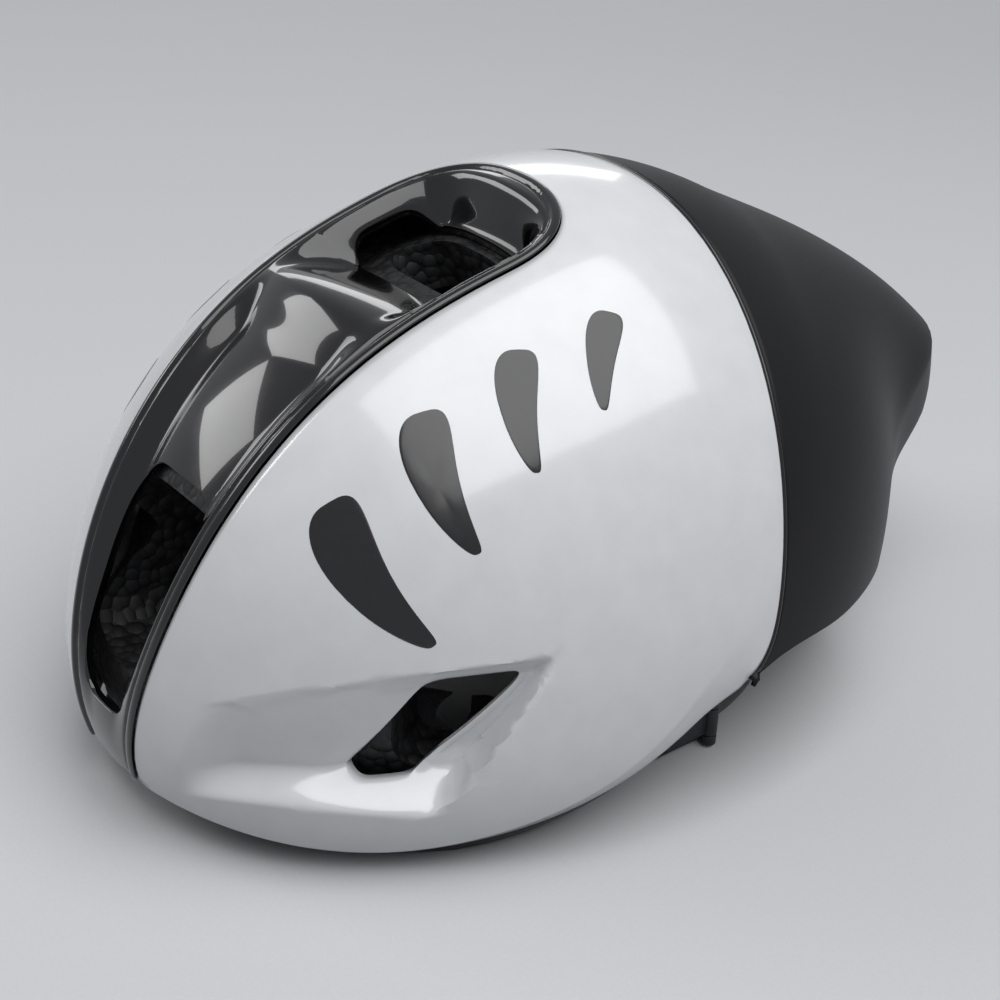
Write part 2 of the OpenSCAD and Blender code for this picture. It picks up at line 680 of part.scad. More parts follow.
// Hook dots hold the pads on the foam
dot_places = [
    [-1, -28], [-1, -9.5], [-1, 9.5], [-1, 28], [88, 0], [108, 0], [62, 40], [108, 40], [62, -40],
    [108, -40], [127.5, -13], [127.5, 13]
];
module hook_dots() {
    color([0.05, 0.05, 0.05])
        for (a = dot_places)
            let (d = aim(a[0], a[1]), n = head_normal(d))
                translate(centre + head_reach(d) * d - (dot_seat + dot_t) * n)
                    rotate([0, acos(n.z), atan2(n.y, n.x)])
                        cylinder(h = dot_t, d = dot_d);
}

// Gears of module 1 with short teeth
pitch_r = pinion_teeth / 2;
tooth_add = 0.65;
tooth_ded = 0.95;
backlash = 0.24;
rack_bar = 3;
rack_reach = pitch_r + tooth_ded + rack_bar;
cover_wall = 1.6;
cover_h = 2 * (rack_reach + 1.5 * slide_gap + cover_wall);

// The layers of the fit system from the head side to the dial
yoke_t = 2.4;
arm_y = centre_y + head_back - 20.5;
yoke_y = arm_y - arm_t / 2 - slide_gap - yoke_t;
cover_y = yoke_y + yoke_t + slide_gap;
cover_back = 2.4;
knob_y = cover_y + arm_t + 2 * slide_gap + cover_back + 0.4;
shoe_h = 12;
screw_x = 16;
stop_t = 4;
shoe_z = dial_z + cover_h / 2 + cradle_travel + stop_t + 0.5;
rail_y = yoke_y + yoke_t + 2;
rail_top = shoe_z + shoe_h + cradle_travel + 2;

// The rail hangs from a foot on the foam, and its lower end is the cradle's stop
module hanger_rail() {
    foot_z = rail_top;
    foot_h = 5;
    d = (foot_z + foot_h - centre_z) / head_top;
    wall_y = centre_y + head_back * sqrt(1 - pow(d, 2) - pow((rail_w / 2 + 1) / head_half, 2));
    low = shoe_z - stop_t;
    color([0.2, 0.2, 0.21]) {
        translate([-rail_w / 2, rail_y, low])
            cube([rail_w, rail_t, foot_z + foot_h - low]);
        translate([-rail_w / 2 - 1.5, rail_y, low])
            cube([rail_w + 3, rail_t, stop_t - slide_gap]);
        translate([-rail_w / 2 - 1, rail_y, foot_z])
            cube([rail_w + 2, wall_y - 0.4 - rail_y, foot_h]);
    }
}

module cradle_yoke() {
    wall = 1.9;
    neck = shoe_z + shoe_h - dial_z;
    color([0.16, 0.16, 0.17])
        difference() {
            union() {
                plate(0, yoke_y, dial_z, 2 * cover_half + 2, yoke_t, 20, 6);
                plate(0, yoke_y, dial_z + neck / 2, 16, yoke_t, neck, 3);
                translate([-rail_w / 2 - 3, yoke_y + yoke_t / 2, shoe_z])
                    cube([rail_w + 6, rail_y + rail_t + wall + slide_gap - yoke_y - yoke_t / 2, shoe_h]);
            }
            translate([-rail_w / 2 - slide_gap, rail_y - slide_gap, shoe_z - 1])
                cube([rail_w + 2 * slide_gap, rail_t + 2 * slide_gap, shoe_h + 2]);
            rod_y(0, dial_z, yoke_y - 1, yoke_y + yoke_t + 1, 3 + 2 * bore_gap);
            for (x = [-screw_x, screw_x])
                rod_y(x, dial_z, yoke_y - 1, yoke_y + yoke_t + 1, 2 + 2 * bore_gap);
        }
}

// A flat pillow on the head side of the yoke
module cradle_pad() {
    w = 2 * cover_half + 2;
    h = 17;
    function crown(u, v) = 3 * (0.2 + 0.8 * sqrt(max((1 - pow(u, 6)) * (1 - pow(v, 6)), 0)));
    us = [for (i = [0 : 6]) -cos(30 * i)];
    vs = [for (j = [0 : 10]) mix(-1, 1, j / 10)];
    function drawn(x) = 1 - 0.06 * (1 - x * x);
    function at(u, v, y) = [v * w / 2 * drawn(u), y, dial_z + u * h / 2 * drawn(v)];
    back = yoke_y - soft_gap;
    color([0.15, 0.15, 0.16])
        sheet([for (u = us) [for (v = vs) at(u, v, back)]],
              [for (u = us) [for (v = vs) at(u, v, back - crown(u, v))]], all_cells(6, 10));
}

// The cover holds the racks and the pinion against the yoke
module gear_cover() {
    room = arm_t + 2 * slide_gap;
    color([0.1, 0.1, 0.11])
        difference() {
            union() {
                plate(0, cover_y + room, dial_z, 2 * cover_half, cover_back, cover_h, 5);
                for (z = [-cover_h / 2, cover_h / 2 - cover_wall])
                    translate([-cover_half + 2, cover_y, dial_z + z])
                        cube([2 * cover_half - 4, room + 1, cover_wall]);
                for (x = [-screw_x, screw_x])
                    rod_y(x, dial_z, cover_y, cover_y + room + 1, 5);
            }
            rod_y(0, dial_z, cover_y, knob_y, 5 + 2 * bore_gap);
            for (x = [-screw_x, screw_x]) {
                rod_y(x, dial_z, cover_y - 1, knob_y, 2 + 2 * bore_gap);
                rod_y(x, dial_z, cover_y + room + cover_back - 1, knob_y, 4.4);
            }
        }
}

module cover_screws() {
    head_y = cover_y + arm_t + 2 * slide_gap + cover_back - 1;
    color("silver")
        for (x = [-screw_x, screw_x]) {
            rod_y(x, dial_z, yoke_y + 0.2, head_y, 2);
            rod_y(x, dial_z, head_y, head_y + 1, 4);
        }
}

// A ring on the cover that clicks inside the dial
module detent_ring() {
    y = knob_y - 0.4;
    color([0.3, 0.3, 0.32])
        difference() {
            rod_y(0, dial_z, y, y + 1.6, 20);
            rod_y(0, dial_z, y - 1, y + 3, 17);
            for (k = [0 : 17])
                translate([0, 0, dial_z])
                    rotate([0, 20 * k, 0])
                        rod_y(8.5, 0, y - 1, y + 3, 1);
        }
}

module dial_knob() {
    color([0.13, 0.13, 0.14])
        difference() {
            rod_y(0, dial_z, knob_y, knob_y + dial_w, dial_d);
            rod_y(0, dial_z, knob_y - 1, knob_y + dial_w + 1, 5 + 2 * bore_gap);
            rod_y(0, dial_z, knob_y + dial_w - 3, knob_y + dial_w + 1, 8);
            difference() {
                rod_y(0, dial_z, knob_y - 1, knob_y + 1.6, 21.2);
                rod_y(0, dial_z, knob_y - 2, knob_y + 2, 15.8);
            }
            for (k = [0 : 17])
                translate([0, 0, dial_z])
                    rotate([0, 20 * k, 0])
                        rod_y(dial_d / 2 + 0.7, 0, knob_y + 2, knob_y + dial_w + 1, 3.4);
        }
}

// An involute pinion in mesh with both racks, and its shaft
function inv(a) = tan(a) - a * PI / 180;
function half_tooth(r) =
    let (base = pitch_r * cos(20), a = acos(min(base / max(r, base), 1)))
    90 / pinion_teeth - backlash / 4 / pitch_r * 180 / PI + (inv(20) - inv(a)) * 180 / PI;
module dial_pinion() {
    root_r = pitch_r - tooth_ded;
    tip_r = pitch_r + tooth_add;
    flank = [root_r, pitch_r * cos(20), pitch_r - 0.1, pitch_r + 0.3, tip_r];
    first = 90;
    points = [
        for (k = [0 : pinion_teeth - 1])
        each concat(
            [for (r = flank) let (a = first + k * 360 / pinion_teeth - half_tooth(r)) r * [cos(a), sin(a)]],
            [
                for (i = [len(flank) - 1 : -1 : 0])
                let (a = first + k * 360 / pinion_teeth + half_tooth(flank[i]))
                flank[i] * [cos(a), sin(a)]
            ])
    ];
    color([0.75, 0.75, 0.72])
        difference() {
            union() {
                translate([0, arm_y + arm_t / 2, dial_z])
                    rotate([90, 0, 0])
                        linear_extrude(arm_t)
                            polygon(points);
                rod_y(0, dial_z, arm_y, knob_y + dial_w - 3, 5);
                rod_y(0, dial_z, yoke_y + 0.3, arm_y, 3);
            }
            rod_y(0, dial_z, knob_y, knob_y + dial_w, 2.4 + 2 * bore_gap);
        }
}

module dial_screw() {
    color("silver") {
        rod_y(0, dial_z, knob_y + 0.5, knob_y + dial_w - 3, 2.4);
        rod_y(0, dial_z, knob_y + dial_w - 3, knob_y + dial_w - 0.8, 7);
    }
}

// An arm: a rack under the pinion, a bend round the back of the head, and a band that
// runs to the temple
bend_x = 20;
bend_r = head_half - 12 - bend_x;
temple_y = centre_y - 29;
module arm() {
    bend_y = arm_y - bend_r;
    pitch_z = -pitch_r;
    rack_low = -rack_reach;
    band_turn = 78;
    bar_end = bend_x + bend_r * cos(band_turn) + 1.6;
    rack_tail = cover_half - rack_bar - arm_travel;
    tooth = (PI - backlash) / 2;
    slope = tan(20);
    color([0.18, 0.18, 0.19])
        translate([0, 0, dial_z]) difference() {
            union() {
                translate([0, arm_y + arm_t / 2, 0])
                    rotate([90, 0, 0])
                        linear_extrude(arm_t) {
                            translate([-rack_tail, rack_low])
                                square([bar_end + rack_tail, rack_bar]);
                            for (k = [-2 : ceil(arm_travel / PI) + 1])
                                translate([(k + 0.5) * PI, pitch_z])
                                    polygon([
                                        [-tooth / 2 - tooth_ded * slope, -tooth_ded - 0.5],
                                        [tooth / 2 + tooth_ded * slope, -tooth_ded - 0.5],
                                        [tooth / 2 - tooth_add * slope, tooth_add],
                                        [-tooth / 2 + tooth_add * slope, tooth_add]
                                    ]);
                        }
                translate([bend_x, bend_y, -band_h / 2])
                    rotate_extrude(angle = band_turn)
                        translate([bend_r - arm_t / 2, 0])
                            square([arm_t, band_h]);
                translate([bend_x + bend_r - arm_t / 2, temple_y, -band_h / 2])
                    cube([arm_t, bend_y - temple_y, band_h]);
                translate([bend_x + bend_r - arm_t / 2, temple_y, 0])
                    rotate([0, 90, 0])
                        cylinder(h = arm_t, d = band_h - 1);
            }
            translate([bend_x + bend_r - arm_t, temple_y, 0])
                rotate([0, 90, 0])
                    cylinder(h = 2 * arm_t, d = 4.4);
        }
}

module arm_left() {
    arm();
}
module arm_right() {
    translate([0, 0, dial_z])
        rotate([0, 180, 0])
            translate([0, 0, -dial_z])
                arm();
}

// A stud on the foam at the temple, beside the end of the arm
module temple_anchor() {
    x = bend_x + bend_r + arm_t / 2 + slide_gap;
    stud_d = 9;
    along = (temple_y - stud_d / 2 - centre_y) / head_front;
    up = (dial_z + stud_d / 2 - centre_z) / head_top;
    wall = head_half * sqrt(1 - along * along - up * up);
    color([0.2, 0.2, 0.21])
        translate([x, temple_y, dial_z])
            rotate([0, 90, 0])
                cylinder(h = wall - 0.5 - x, d = stud_d);
}
module temple_anchor_left() {
    temple_anchor();
}
module temple_anchor_right() {
    mirror([1, 0, 0]) temple_anchor();
}

// The webbing stands on edge inside the rim: gap is its distance from an oval that runs
// a little inside the foam's wall
web_wall = [head_half - 3, head_front - 4.5, head_back - 3.5];
outer_gap = 4.5;
chin_gap = 9.5;
web_seat = 0.3;
divider_y = centre_y - divider_l / 2;
buckle_y = centre_y - web_wall[1] + chin_gap + web_t + 1.4;
buckle_half = 17;
function web_at(turn, gap, z) = [
    (web_wall[0] - gap) * sin(turn),
    centre_y - (web_wall[cos(turn) > 0 ? 1 : 2] - gap) * cos(turn), z
];
// The turn at which the webbing reaches a place along Y, or along X
function turn_at_y(gap, y) =
    acos((centre_y - y) / (web_wall[y < centre_y ? 1 : 2] - gap - (y < centre_y ? 0 : web_t)));
function turn_at_x(gap, x) = asin(x / (web_wall[0] - gap - web_t));
function spread(a, b, n) = [for (k = [0 : n]) mix(a, b, k / n)];
module web(turns, gap, zs) {
    color([0.08, 0.08, 0.08])
        loft([
            for (k = [0 : len(turns) - 1])
            [
                web_at(turns[k], gap, zs[k] - web_w / 2),
                web_at(turns[k], gap + web_t, zs[k] - web_w / 2),
                web_at(turns[k], gap + web_t, zs[k] + web_w / 2),
                web_at(turns[k], gap, zs[k] + web_w / 2)
            ]
        ]);
}
front_anchor = [51.5, 27];
rear_anchor = [148, web_z];
module front_strap() {
    turns = spread(front_anchor[0] - 2, turn_at_y(outer_gap, divider_y - web_seat), 12);
    web(turns, outer_gap, [for (t = turns) mix(front_anchor[1], web_z, step((t - front_anchor[0]) / 14))]);
}
module rear_strap() {
    turns = spread(turn_at_y(outer_gap, divider_y + divider_l + web_seat), rear_anchor[0] + 2, 10);
    web(turns, outer_gap, [for (t = turns) web_z]);
}
module chin_strap() {
    from = turn_at_x(chin_gap, buckle_half + web_seat);
    turns = spread(from, turn_at_y(chin_gap, divider_y - web_seat), 14);
    web(turns, chin_gap, [for (t = turns) web_z]);
}
module front_strap_left() {
    front_strap();
}
module front_strap_right() {
    mirror([1, 0, 0]) front_strap();
}
module rear_strap_left() {
    rear_strap();
}
module rear_strap_right() {
    mirror([1, 0, 0]) rear_strap();
}
module chin_strap_left() {
    chin_strap();
}
module chin_strap_right() {
    mirror([1, 0, 0]) chin_strap();
}

// Round studs between the straps' ends and the foam
module strap_anchors() {
    function wall(turn, z) =
        let (f = sqrt(1 - pow((z - 4 - centre_z) / head_top, 2)))
        [
            (head_half * f - 1) * sin(turn),
            centre_y - ((cos(turn) > 0 ? head_front : head_back) * f - 1) * cos(turn), z
        ];
    color([0.2, 0.2, 0.21])
        mirrored()
            for (a = [front_anchor, rear_anchor])
                let (p = web_at(a[0], outer_gap - 0.8, a[1]), q = wall(a[0], a[1]), d = unit(q - p))
                    translate(p)
                        rotate([0, 90, atan2(d.y, d.x)])
                            cylinder(h = norm(q - p), d = 8);
}

// A divider joins the front, rear and chin straps below the ear
divider_x = web_wall[0] - chin_gap - web_t - 1;
divider_w = 9.6;
knuckle_d = pin_d + 2.2;
hinge_x = divider_x + divider_w + knuckle_d / 2 + slide_gap;
hinge_y = divider_y + divider_l - 2.6;
lever_t = 2.6;
module divider() {
    low = web_z - divider_h / 2;
    color([0.1, 0.1, 0.1])
        difference() {
            union() {
                translate([divider_x, divider_y, low])
                    cube([divider_w, divider_l, divider_h]);
                for (z = [low, low + divider_h - 3]) {
                    translate([hinge_x, hinge_y, z])
                        cylinder(h = 3, d = knuckle_d);
                    translate([divider_x + divider_w - 1, hinge_y - knuckle_d / 2 + 0.2, z])
                        cube([hinge_x - divider_x - divider_w + 1, knuckle_d - 0.4, 3]);
                }
            }
            for (y = [3, divider_l / 2, divider_l - 6.5])
                translate([divider_x + 2, divider_y + y, low - 1])
                    cube([divider_w - 4, 2.4, divider_h + 2]);
            translate([hinge_x, hinge_y, low - 1])
                cylinder(h = divider_h + 2, d = pin_d + 2 * bore_gap);
        }
}
module divider_left() {
    divider();
}
module divider_right() {
    mirror([1, 0, 0]) divider();
}

// The lever folds flat against the divider and opens outwards
module lever() {
    low = web_z - divider_h / 2 + 3 + slide_gap;
    h = divider_h - 6 - 2 * slide_gap;
    x = divider_x + divider_w + slide_gap;
    color([0.14, 0.14, 0.15])
        difference() {
            union() {
                translate([hinge_x, hinge_y, low])
                    cylinder(h = h, d = knuckle_d);
                translate([x + 0.2, divider_y + 3, low])
                    cube([lever_t - 0.4, hinge_y - divider_y - 3, h]);
                translate([x + lever_t / 2, divider_y + 3, low])
                    cylinder(h = h, d = lever_t - 0.4);
            }
            translate([hinge_x, hinge_y, low - 1])
                cylinder(h = h + 2, d = pin_d + 2 * bore_gap);
        }
}
module lever_left() {
    lever();
}
module lever_right() {
    mirror([1, 0, 0]) lever();
}
module lever_pins() {
    color("silver")
        mirrored()
            translate([hinge_x, hinge_y, web_z - divider_h / 2 + 0.3])
                cylinder(h = divider_h - 0.6, d = pin_d);
}

// A soft sleeve pad on the head side of the left chin strap
module chin_pad() {
    steps = 16;
    sides = 12;
    rings = [
        for (k = [0 : steps])
        let (w = k / steps, turn = mix(34, 66, w),
             full = 0.35 + 0.65 * pow(sin(180 * clamp(w, 0.02, 0.98)), 0.4),
             rib = 1 - 0.18 * pow(cos(360 * 2.5 * w), 8))
        [
            for (j = [0 : sides - 1])
            let (a = 360 * j / sides, round = sign(sin(a)) * pow(abs(sin(a)), 0.7),
                 depth = chin_gap + web_t + soft_gap + 2 * full * rib * (1 + cos(a) * 0.98))
            web_at(turn, depth, web_z + 7.2 * full * round)
        ]
    ];
    color([0.15, 0.15, 0.16]) loft(rings);
}

// A rubber loop that keeps the strap's free end
module strap_keeper() {
    turn = 26;
    mid = web_at(turn, chin_gap + web_t / 2, web_z);
    ahead = unit(web_at(turn + 2, chin_gap, web_z) - web_at(turn - 2, chin_gap, web_z));
    color([0.05, 0.05, 0.05])
        translate(mid)
            rotate([0, 0, atan2(ahead.y, ahead.x)])
                difference() {
                    cube([5, web_t + 3.4, web_w + 3], center = true);
                    cube([7, web_t + 0.8, web_w + 0.8], center = true);
                }
}

// A magnetic buckle lies along X at the front, and its tongue slides out to the right
buckle_wall = 1.4;
blade_t = 2.8;
blade_l = 12;
magnet_d = 8;
magnet_t = 1.6;
magnet_x = 5.5;
magnet_y = buckle_y + buckle_t / 2 - magnet_t;
blade_y = buckle_y - buckle_t / 2 + buckle_wall + slide_gap;
pocket_y = blade_y + blade_t - magnet_t;
module buckle_block(x0, x1, gap = 0) {
    translate([x0, buckle_y - buckle_t / 2 + gap, web_z - buckle_h / 2 + gap])
        cube([x1 - x0, buckle_t - 2 * gap, buckle_h - 2 * gap]);
}
// A slot near the buckle's end, round which the webbing is sewn
module web_slot(x) {
    translate([x, buckle_y - buckle_t, web_z - web_w / 2 - slide_gap])
        cube([1.8, 2 * buckle_t, web_w + 2 * slide_gap]);
}
module buckle_socket() {
    color([0.12, 0.12, 0.13])
        difference() {
            buckle_block(0, buckle_half);
            translate([-1, blade_y - slide_gap, web_z - buckle_h / 2 + buckle_wall])
                cube([blade_l + 2, blade_t + 2 * slide_gap, buckle_h - 2 * buckle_wall]);
            rod_y(magnet_x, web_z, magnet_y - 0.1, buckle_y + buckle_t, magnet_d + 0.1);
            web_slot(buckle_half - 1.6 - 1.8);
        }
}
module magnet_socket() {
    color("silver")
        rod_y(magnet_x, web_z, magnet_y, magnet_y + magnet_t - 0.1, magnet_d);
}
module buckle_tongue() {
    h = buckle_h - 2 * buckle_wall - 2 * slide_gap;
    color([0.12, 0.12, 0.13])
        difference() {
            union() {
                buckle_block(-buckle_half, -slide_gap);
                translate([-1, blade_y, web_z - h / 2])
                    cube([blade_l + 1, blade_t, h]);
            }
            rod_y(magnet_x, web_z, pocket_y - 0.1, pocket_y + magnet_t + 1, magnet_d + 0.1);
            web_slot(-buckle_half + 1.6);
            for (x = [-12 : 2 : -4])
                translate([x, buckle_y - buckle_t / 2 - 1, web_z - buckle_h / 2 - 1])
                    cube([0.8, 1.6, buckle_h + 2]);
        }
}
module magnet_tongue() {
    color("silver")
        rod_y(magnet_x, web_z, pocket_y, pocket_y + magnet_t - 0.1, magnet_d);
}

upper_shell();
centre_spine();
rear_shell();
seam_trim();
rim_trim();
eps_front();
eps_side_left();
eps_side_right();
eps_rear_left();
eps_rear();
eps_rear_right();
eps_crown();
brow_pad();
crown_pad();
side_pad_left();
side_pad_right();
nape_pad();
hook_dots();
hanger_rail();
cradle_yoke();
cradle_pad();
gear_cover();
cover_screws();
detent_ring();
dial_knob();
dial_pinion();
dial_screw();
arm_left();
arm_right();
temple_anchor_left();
temple_anchor_right();
strap_anchors();
front_strap_left();
front_strap_right();
rear_strap_left();
rear_strap_right();
divider_left();
divider_right();
lever_left();
lever_right();
lever_pins();
chin_strap_left();
chin_strap_right();
chin_pad();
strap_keeper();
buckle_socket();
buckle_tongue();
magnet_socket();
magnet_tongue();
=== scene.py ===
"""Aero road bike helmet: shells, foam, pads, straps and fit system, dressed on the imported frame.

The classes hold millimetres and degrees, and MeshMaker turns them to metres. X is sideways,
-Y is forward and +Z is up. A place on the outer form is given by two angles seen from the
centre point: theta turns in the side plane from the front over the top to the back, and phi
leans sideways from that plane.
"""
import logging
import math
from dataclasses import dataclass
from enum import Enum

import bmesh
import bpy
import numpy as np
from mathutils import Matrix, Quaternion, Vector


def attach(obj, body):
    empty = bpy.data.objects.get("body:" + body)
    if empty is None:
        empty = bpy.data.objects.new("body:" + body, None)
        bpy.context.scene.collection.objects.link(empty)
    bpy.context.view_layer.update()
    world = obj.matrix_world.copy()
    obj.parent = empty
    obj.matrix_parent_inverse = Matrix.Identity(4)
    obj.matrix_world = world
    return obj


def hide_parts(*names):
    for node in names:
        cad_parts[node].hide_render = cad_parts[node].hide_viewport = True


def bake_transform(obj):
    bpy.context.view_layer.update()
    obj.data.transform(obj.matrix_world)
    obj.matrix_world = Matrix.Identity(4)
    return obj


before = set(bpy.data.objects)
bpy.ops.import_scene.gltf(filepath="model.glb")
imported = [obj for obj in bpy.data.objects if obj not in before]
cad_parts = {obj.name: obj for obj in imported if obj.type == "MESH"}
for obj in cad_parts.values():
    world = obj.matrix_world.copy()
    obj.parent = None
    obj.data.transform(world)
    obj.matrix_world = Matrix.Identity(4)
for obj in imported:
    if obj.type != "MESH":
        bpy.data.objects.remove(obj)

log = logging.getLogger("helmet")
Array = np.ndarray
MM = 0.001


class Side(Enum):
    """The wearer's two sides, as the sign of X."""

    LEFT = 1.0
    RIGHT = -1.0


def sind(angle: Array | float) -> Array:
    """The sine of an angle in degrees."""
    return np.sin(np.radians(angle))


def cosd(angle: Array | float) -> Array:
    """The cosine of an angle in degrees."""
    return np.cos(np.radians(angle))


def mix(a: Array | float, b: Array | float, t: Array | float) -> Array:
    """The value at share t of the way from a to b."""
    return a + (b - a) * t


def soft_step(x: Array | float) -> Array:
    """A smooth step from 0 to 1: u squared times 3 less 2u, with u held between 0 and 1."""
    u = np.clip(x, 0, 1)
    return u * u * (3 - 2 * u)


def unit(v: Array) -> Array:
    """Vectors along the last axis brought to length 1."""
    return v / np.maximum(np.linalg.norm(v, axis=-1, keepdims=True), 1e-12)


def powered(x: Array, exponent: float) -> Array:
    """A power that keeps the sign, which turns a circle into a superellipse."""
    return np.sign(x) * np.abs(x) ** exponent


def spline(controls: tuple[float, ...], x: Array, first: float, pitch: float) -> Array:
    """A uniform cubic B-spline over evenly spaced control values.

    Args:
        controls: the control values.
        x: the places at which it is read.
        first: the place of the first control value.
        pitch: the distance between two control values.

    Returns:
        The spline's values at x.
    """
    c = np.asarray(controls, float)
    u = np.clip((np.asarray(x, float) - first) / pitch, 1, len(c) - 2.001)
    i = np.floor(u).astype(int)
    t = u - i
    last = np.minimum(i + 2, len(c) - 1)
    return (c[i - 1] * (1 - t) ** 3 + c[i] * (3 * t ** 3 - 6 * t * t + 4)
            + c[i + 1] * (-3 * t ** 3 + 3 * t * t + 3 * t + 1) + c[last] * t ** 3) / 6


def blocks(*spans: tuple[float, float, int]) -> Array:
    """Joins evenly divided spans (start, end, steps) into one rising row of values."""
    parts = [np.linspace(a, b, n + 1)[:-1] for a, b, n in spans]
    return np.concatenate(parts + [[spans[-1][1]]])


@dataclass(frozen=True)
class OuterForm:
    """The helmet's outer form: a superellipse between a centre profile and the half-width,
    with the tail wedge on top of it."""

    half_width: float = 103.0
    centre_y: float = 1.75
    centre_z: float = 34.0
    profile: tuple[float, ...] = (92, 115.5, 152, 146.5, 140, 132, 123.5, 124.5, 124, 124.5,
                                  123.5, 113, 108, 101, 89)
    profile_first: float = -50.0
    profile_pitch: float = 20.0
    squareness: float = 2.07
    tail_rise: float = 37.0
    tail_start: float = 118.0
    tail_run: float = 40.0
    tail_power: float = 1.85
    tail_fall: float = 15.0
    tail_edge: float = 157.0
    tail_droop: float = 5.5
    tail_corner: float = 22.5
    rim_heights: tuple[float, ...] = (16, 13.5, 8, 4, 4, 8, 14, 23, 35, 46, 47, 43, 41, 37,
                                      28, 3, 2.5, 30, 38)
    trim_depth: float = 5.0
    skin: float = 1.6
    tuck: float = 3.5
    seam_gap: float = 0.5
    seam_width: float = 0.9
    seam_theta: float = 101.0
    ear_turn: float = 85.5
    head_half: float = 80.0
    head_front: float = 108.0
    head_back: float = 92.0
    head_top: float = 92.0
    dial_room: float = 4.0

    @property
    def centre(self) -> Array:
        """The centre point, which the whole form is seen from."""
        return np.array([0.0, self.centre_y, self.centre_z])

    def tail(self, theta: Array, phi: Array) -> Array:
        """The wedge's height: it rises as a power of its run, drops behind its edge, which
        droops with the square of phi, and fades at its corners by 1 over 1 and a power."""
        rise = np.clip((theta - self.tail_start) / self.tail_run, 0, 1) ** self.tail_power
        edge = self.tail_edge + self.tail_droop * np.minimum((phi / 16) ** 2, 1.5)
        corner = mix(self.tail_corner + 14, self.tail_corner, soft_step((theta - 105) / 50))
        fade = 1 + (np.abs(phi) / corner) ** 5.5
        fall = (1 - soft_step((theta - edge) / self.tail_fall)) / fade
        return self.tail_rise * rise * fall

    def reach(self, theta: Array, phi: Array) -> Array:
        """The distance from the centre point to the outer skin in a direction."""
        c = np.maximum(cosd(phi), 1e-4) / spline(
            self.profile, theta, self.profile_first, self.profile_pitch)
        s = np.maximum(np.abs(sind(phi)), 1e-4) / self.half_width
        n = self.squareness
        return (c ** n + s ** n) ** (-1 / n) + self.tail(theta, phi)

    def aim(self, theta: Array, phi: Array) -> Array:
        """The direction that two angles stand for."""
        return np.stack(np.broadcast_arrays(
            sind(phi), -cosd(phi) * cosd(theta), cosd(phi) * sind(theta)), axis=-1)

    def on_skin(self, theta: Array, phi: Array, off: Array | float = 0.0) -> Array:
        """The point on the skin in a direction, moved outwards by off."""
        far = self.reach(theta, phi) + off
        return self.centre + far[..., None] * self.aim(theta, phi)

    def angles(self, d: Array) -> tuple[Array, Array]:
        """The two angles of a direction, with theta between -90 and 270."""
        theta = np.degrees(np.arctan2(d[..., 2], -d[..., 1]))
        theta = np.where(theta < -90, theta + 360, theta)
        return theta, np.degrees(np.arcsin(np.clip(d[..., 0], -1, 1)))

    def round_aim(self, turn: Array, rise: Array) -> Array:
        """A direction by its turn from the front and its rise above the level."""
        return np.stack(np.broadcast_arrays(
            cosd(rise) * sind(turn), -cosd(rise) * cosd(turn), sind(rise)), axis=-1)

    def rim_height(self, turn: Array) -> Array:
        """The height of the shell's lower edge round the helmet."""
        folded = np.where(turn > 180, 360 - turn, np.abs(turn))
        heights = (self.rim_heights[1],) + self.rim_heights + (self.rim_heights[17],)
        return spline(heights, folded, -10, 10)

    def rim_rise(self, turn: Array, lift: float = 0.0) -> Array:
        """The rise at which the skin meets the rim's height, by four rounds of correction."""
        rise = np.zeros_like(np.asarray(turn, float))
        for _ in range(4):
            theta, phi = self.angles(self.round_aim(turn, rise))
            up = self.rim_height(turn) + lift - self.centre_z
            rise = np.degrees(np.arcsin(up / self.reach(theta, phi)))
        return rise

    def rim_angles(self, turn: Array) -> tuple[Array, Array]:
        """The two angles of the shell's lower edge at a turn from the front."""
        return self.angles(self.round_aim(turn, self.rim_rise(turn)))

    def head_reach(self, d: Array) -> Array:
        """The distance from the centre point to the head cavity's wall, an ellipsoid with a
        longer front half."""
        along = np.where(d[..., 1] < 0, self.head_front, self.head_back)
        return 1 / np.sqrt((d[..., 0] / self.head_half) ** 2 + (d[..., 1] / along) ** 2
                           + (d[..., 2] / self.head_top) ** 2)

    def dial_hollow(self, turn: Array, share: Array | float) -> Array:
        """Depth of the hollow behind the dial, which fades out at its sides and its top."""
        aside = np.abs(180 - np.abs(turn))
        return self.dial_room * soft_step((15 - aside) / 6) * soft_step((0.25 - share) / 0.08)

    def seam(self, u: Array) -> tuple[Array, Array]:
        """The rear seam from the crown (u = 0) down to the ear (u = 1)."""
        ear = [float(a) for a in self.rim_angles(np.array(self.ear_turn))]
        fall = np.maximum(1 - sind(90 * u) ** 30, 0) ** (1 / 3)
        return ear[0] + (self.seam_theta - ear[0]) * fall, ear[1] * sind(90 * u)

    def seam_beside(self, u: Array, offset: float) -> tuple[Array, Array]:
        """The seam's line moved sideways on the skin, towards the back."""
        p = self.on_skin(*self.seam(u))
        ahead = (self.on_skin(*self.seam(np.minimum(u + 0.01, 1)))
                 - self.on_skin(*self.seam(u - 0.01)))
        aside = unit(np.cross(unit(p - self.centre), ahead))
        return self.angles(unit(p + offset * aside - self.centre))


FORM = OuterForm()


def stand(name: str, data: bpy.types.ID) -> bpy.types.Object:
    """Makes an object of its data and stands it in the scene at the origin."""
    made = bpy.data.objects.new(name, data)
    bpy.context.scene.collection.objects.link(made)
    return made


